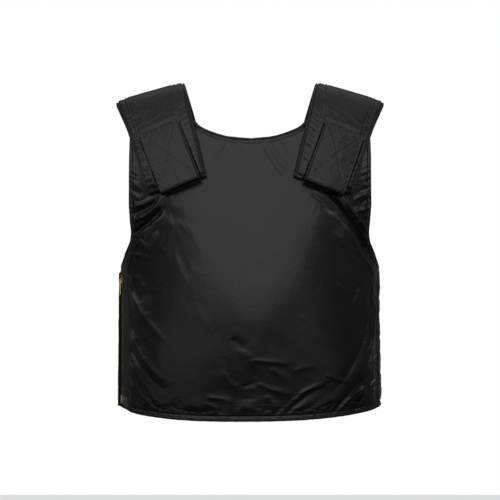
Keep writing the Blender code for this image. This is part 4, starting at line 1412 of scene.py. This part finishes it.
class Paint(NodeTree):
    # a material whose surface is one Principled shader
    def __init__(self, name, settings):
        self.material = bpy.data.materials.new(name)
        self.material.use_nodes = True
        super().__init__(self.material.node_tree)
        self.shader = self.tree.nodes["Principled BSDF"]
        for key, value in settings.items():
            self.shader.inputs[key].default_value = value
        self.place = self.node("ShaderNodeTexCoord", output="Object")

    def noise(self, scale, detail=2.0, roughness=0.5, stretch=(1.0, 1.0, 1.0), turn=(0.0, 0.0, 0.0)):
        mapped = self.node("ShaderNodeMapping", {}, {
            "Vector": self.place, "Rotation": turn, "Scale": stretch})
        return Wire(self, self.node("ShaderNodeTexNoise", {}, {
            "Vector": mapped, "Scale": scale, "Detail": detail, "Roughness": roughness}))

    def threads(self, pitch):
        # a plain weave from the cloth's own coordinates, from 0 to 1
        first, second, _third = self.parts(self.node("ShaderNodeUVMap", {"uv_map": "cloth"}))
        first, second = first * (math.pi / pitch), second * (math.pi / pitch)
        return first.maths("SINE", first) * second.maths("SINE", second) * 0.5 + 0.5

    def mix(self, share, first, second):
        return Wire(self, self.node("ShaderNodeMix", {"data_type": "RGBA"}, {
            0: share, 6: first, 7: second}, 2))

    def bump(self, height, distance, strength=1.0, under=None):
        inputs = {"Height": height, "Distance": distance, "Strength": strength}
        if under is not None:
            inputs["Normal"] = under
        return Wire(self, self.node("ShaderNodeBump", {}, inputs))

    def finish(self, **sockets):
        for key, value in sockets.items():
            self.feed(self.shader.inputs[key.replace("_", " ")], value)
        return self.material


def grey(value, blue=1.04):
    return (value, value, value * blue, 1.0)


nylonValues = {
    "dark": 0.0060,
    "light": 0.0100,
    "smooth": 0.24,
    "rough": 0.32,
    "shine": 0.50,
    "crinkleDepth": 0.00022,
    "grainDepth": 0.00008,
    "weavePitch": 0.0011,
    "weaveDepth": 0.00003,
}


def nylon(name, values):
    paint = Paint(name, {"IOR": 1.5, "Specular IOR Level": values["shine"]})
    patches = paint.noise(9.0, 3.0, 0.55)
    crinkle = paint.noise(70.0, 4.0, 0.58, (1.0, 1.0, 0.6), (0.0, 0.5, 0.0))
    grain = paint.noise(420.0, 2.0, 0.6)
    colour = paint.mix(patches.step(0.3, 0.7), grey(values["dark"]), grey(values["light"]))
    rough = patches * (values["rough"] - values["smooth"]) + values["smooth"]
    rough = rough + (grain - 0.5) * 0.06
    normal = paint.bump(crinkle, values["crinkleDepth"])
    normal = paint.bump(grain, values["grainDepth"], 1.0, normal)
    normal = paint.bump(paint.threads(values["weavePitch"]), values["weaveDepth"], 0.6, normal)
    return paint.finish(Base_Color=colour, Roughness=rough, Normal=normal)


def webbing(name, dark, light, rough, pitch, depth, shine=0.5, filmTop=None):
    paint = Paint(name, {"IOR": 1.48, "Specular IOR Level": shine})
    weave = paint.threads(pitch)
    fuzz = paint.noise(600.0, 2.0, 0.6)
    patches = paint.noise(25.0, 2.0, 0.5)
    colour = paint.mix(weave * 0.6 + patches * 0.4, grey(dark), grey(light))
    normal = paint.bump(weave, depth)
    normal = paint.bump(fuzz, 0.00015, 0.7, normal)
    rough = fuzz * 0.12 + rough
    if filmTop is not None:
        # the clear film that stiffens the end of the front tape
        film = paint.parts(paint.place)[2].step(filmTop + 0.0015, filmTop)
        colour = paint.mix(film, colour, (0.034, 0.038, 0.046, 1.0))
        rough = rough - film * 0.30
        paint.finish(Coat_Weight=film)
    return paint.finish(Base_Color=colour, Roughness=rough, Normal=normal)


def thread(name, dark, light):
    paint = Paint(name, {"IOR": 1.48})
    plies = paint.noise(900.0, 2.0, 0.55)
    patches = paint.noise(40.0, 2.0, 0.5)
    colour = paint.mix(plies * 0.6 + patches * 0.4, grey(dark), grey(light))
    return paint.finish(Base_Color=colour, Roughness=plies * 0.2 + 0.36, Normal=paint.bump(plies, 0.0002))


def metal(name, tone, worn, smooth, rough):
    paint = Paint(name, {"Metallic": 1.0})
    patches = paint.noise(500.0, 3.0, 0.6)
    spots = paint.noise(1800.0, 2.0, 0.5)
    colour = paint.mix(patches.step(0.35, 0.7), tone, worn)
    roughness = patches * (rough - smooth) + smooth + (spots - 0.5) * 0.1
    normal = paint.bump(spots, 0.00006, 0.6)
    return paint.finish(Base_Color=colour, Roughness=roughness, Normal=normal)


coverNylon = nylon("cover_nylon", nylonValues)
strapNylon = nylon("strap_nylon", dict(nylonValues, shine=0.47, crinkleDepth=0.0007))
tabNylon = nylon("tab_nylon", dict(nylonValues, shine=0.44, crinkleDepth=0.0005))
bindingNylon = nylon("binding_nylon", dict(
    nylonValues, smooth=0.40, rough=0.52, shine=0.36, crinkleDepth=0.0005))
liningCloth = webbing("lining_cloth", 0.008, 0.016, 0.62, 0.0016, 0.00018)
tapeCloth = webbing("zip_tape_weave", 0.008, 0.042, 0.50, 0.0020, 0.00060, filmTop=zipValues["filmTop"])
# the back tape is the same tape as the front one, painted darker and given less shine: painted shade for the
# shadow behind the teeth
backTapePaintedShade = webbing("zip_tape_dark", 0.004, 0.010, 0.60, 0.0020, 0.00030, shine=0.15)
# the stitch thread is black thread: its colour is lifted to 0.050 to 0.095, a painted highlight that makes
# the stitches show as bright dots
highlightThread = thread("stitch_thread", 0.050, 0.095)
darkThread = thread("dark_thread", 0.014, 0.034)
brass = metal("brass_teeth", (0.62, 0.43, 0.18, 1.0), (0.34, 0.22, 0.09, 1.0), 0.30, 0.50)
brassBody = metal("brass_body", (0.58, 0.42, 0.19, 1.0), (0.40, 0.27, 0.11, 1.0), 0.28, 0.44)
palePull = metal("pale_brass", (0.72, 0.62, 0.42, 1.0), (0.55, 0.43, 0.24, 1.0), 0.30, 0.48)
print("materials made")


# Dressing: every made piece gets its material, hides its CAD node and joins its body

def dress(obj, materials, node):
    for material in materials:
        obj.data.materials.append(material)
    if node:
        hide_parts(node)
    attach(obj, "vest")
    return obj


for obj, node, lining in ((frontCover, "front_panel", frontLining), (backCover, "back_panel", backLining)):
    paintLining(obj, lining, coverNylon, liningCloth)
    dress(obj, [], node)
for tag in ("r", "l"):
    strap, strapLining, _grid = straps[tag]
    paintLining(strap, strapLining, strapNylon, liningCloth)
    dress(strap, [], "shoulder_strap_" + tag)
    dress(tabs[tag], [tabNylon], "strap_tab_" + tag)
for obj, node in bindings:
    dress(obj, [bindingNylon], node)
dress(seamWelt, [bindingNylon], "side_seam")
dress(tapeFront, [tapeCloth], "zip_tape_front")
dress(tapeBack, [backTapePaintedShade], "zip_tape_back")

stitchHost = stitchNodes()
toothHost = toothNodes()
stitchInputs = {
    "Pitch": stitchValues["pitch"],
    "Stitch Length": stitchValues["length"],
    "Stitch Width": stitchValues["width"],
    "Unevenness": stitchValues["unevenness"],
}
stitchSets = {
    "front_stitches": (panelLines(frontGrid), "cover", 5),
    "back_stitches": (panelLines(backGrid), "cover", 9),
    "strap_stitches_r": (strapLines(straps["r"][2]), "strap", 12),
    "strap_stitches_l": (strapLines(straps["l"][2]), "strap", 15),
    "tab_edge_stitches_r": (tabLines("r", -1.0, tabSeams()[:3]), "strap", 18),
    "tab_edge_stitches_l": (tabLines("l", 1.0, tabSeams()[:3]), "strap", 21),
    "tab_cross_stitches_r": (tabLines("r", -1.0, tabSeams()[3:]), "strap", 24),
    "tab_cross_stitches_l": (tabLines("l", 1.0, tabSeams()[3:]), "strap", 27),
}
for name, (lines, slotName, seed) in stitchSets.items():
    # edge stitches take the thread painted lighter as a highlight; the cross stitches take the darker thread
    colour = darkThread if "cross" in name else highlightThread
    threads = runNodes(addLines(name, lines), stitchHost, dict(stitchInputs, Seed=seed, Material=colour))
    dress(threads, [], None)
    print(name, "made:", len(threads.data.polygons), "faces")

teethHeights = np.linspace(zipValues["chainTop"], zipValues["chainBottom"], 120)
teethAngle = -beside(chainAngle(teethHeights), teethHeights, -zipValues["teethShift"])
teethPoint, teethNormal = formFrame(teethAngle, teethHeights)
teethPoint = teethPoint - teethNormal * zipValues["inset"]
teeth = runNodes(addLines("zip_teeth", [(teethPoint, teethNormal)]), toothHost, {
    "Pitch": zipValues["toothPitch"],
    "Tooth Width": zipValues["toothWidth"],
    "Tooth Height": zipValues["toothHeight"],
    "Tooth Thickness": zipValues["toothThickness"],
    "Stagger": zipValues["toothStagger"],
    "Material": brass,
})
dress(teeth, [], "zip_chain")

for node, material in (("zip_slider", brassBody), ("zip_pull", palePull), ("zip_box", brassBody)):
    piece = frame["nodes"][node]
    piece.data.materials.clear()
    piece.data.materials.append(material)
print("pieces dressed")


# Camera, light and floor

scene.view_settings.view_transform = "Standard"
scene.view_settings.look = "None"
scene.view_settings.exposure = 0.0
scene.view_settings.gamma = 1.0

cameraValues = {"sensorWidth": 36.0, "lens": 147.2, "place": (0.0, -3.0, -0.222)}
cameraData = bpy.data.cameras.new("camera")
cameraData.sensor_width = cameraValues["sensorWidth"]
cameraData.lens = cameraValues["lens"]
camera = addObject("camera", cameraData)
camera.location = cameraValues["place"]
camera.rotation_euler = (math.pi / 2, 0.0, 0.0)
scene.camera = camera

lightValues = {
    "aim": (0.0, -0.12, -0.25),
    # name: place, width, height, watts
    "boxes": {
        "front": ((-0.08, -1.93, 1.17), 4.2, 3.6, 33.5),
        "tip": ((0.04, -3.4, -0.56), 1.10, 0.80, 1.2),
        "low": ((-1.6, -2.4, -0.75), 2.6, 1.5, 2.5),
        "far": ((1.5, -2.5, -0.80), 1.9, 1.3, 1.1),
        "left": ((-2.4, -0.9, 1.2), 1.3, 1.6, 5.0),
        "right": ((2.4, -0.9, 1.2), 0.9, 1.3, 3.9),
        "top": ((0.0, 0.35, 1.75), 4.4, 3.0, 9.0),
        "back": ((0.0, 2.3, -1.00), 3.4, 0.8, 6.0),
    },
}


def addLight(name, place, width, height, watts):
    data = bpy.data.lights.new(name, "AREA")
    data.shape = "ELLIPSE"
    data.size = width
    data.size_y = height
    data.energy = watts
    lamp = addObject(name, data)
    lamp.location = place
    away = Vector(place) - Vector(lightValues["aim"])
    lamp.rotation_euler = away.to_track_quat("Z", "Y").to_euler()
    lamp.visible_camera = False


for name, box in lightValues["boxes"].items():
    addLight("softbox_" + name, *box)

# The world's shade changes between two heights of the direction looked in
worldValues = {
    "heights": (-0.60, -0.05),
    "below": (0.010, 0.010, 0.010, 1.0),
    "above": (0.092, 0.092, 0.095, 1.0),
}
world = bpy.data.worlds.new("studio")
world.use_nodes = True
scene.world = world
sky = NodeTree(world.node_tree)
background = world.node_tree.nodes["Background"]
height = sky.parts(sky.node("ShaderNodeTexCoord", output="Generated"))[2]
glow = sky.node("ShaderNodeMix", {"data_type": "RGBA"}, {
    0: height.step(*worldValues["heights"]), 6: worldValues["below"], 7: worldValues["above"]}, 2)
sky.feed(background.inputs["Color"], glow)
white = world.node_tree.nodes.new("ShaderNodeBackground")
white.inputs["Color"].default_value = (1.0, 1.0, 1.0, 1.0)
seen = sky.node("ShaderNodeLightPath")
blended = sky.node("ShaderNodeMixShader", {}, {0: seen, 1: background.outputs[0], 2: white.outputs[0]})
sky.feed(world.node_tree.nodes["World Output"].inputs["Surface"], blended)

floorValues = {"reach": 6.0, "height": -1.3, "rough": 0.9, "glow": 0.7, "shades": (0.86, 0.90)}
corners = [(x * floorValues["reach"], y * floorValues["reach"], floorValues["height"])
           for x, y in ((-1, -1), (1, -1), (1, 1), (-1, 1))]
floorMesh = bpy.data.meshes.new("floor")
floorMesh.from_pydata(corners, [], [(0, 1, 2, 3)])
floor = addObject("floor", floorMesh)
floorPaint = Paint("floor_paint", {
    "Roughness": floorValues["rough"], "Emission Strength": floorValues["glow"]})
floorShade = floorPaint.mix(floorPaint.noise(3.0), *(grey(shade, 1.0) for shade in floorValues["shades"]))
floorMesh.materials.append(floorPaint.finish(Base_Color=floorShade, Emission_Color=floorShade))
floor.visible_glossy = False
floor.visible_diffuse = False
print("camera, light and floor set")
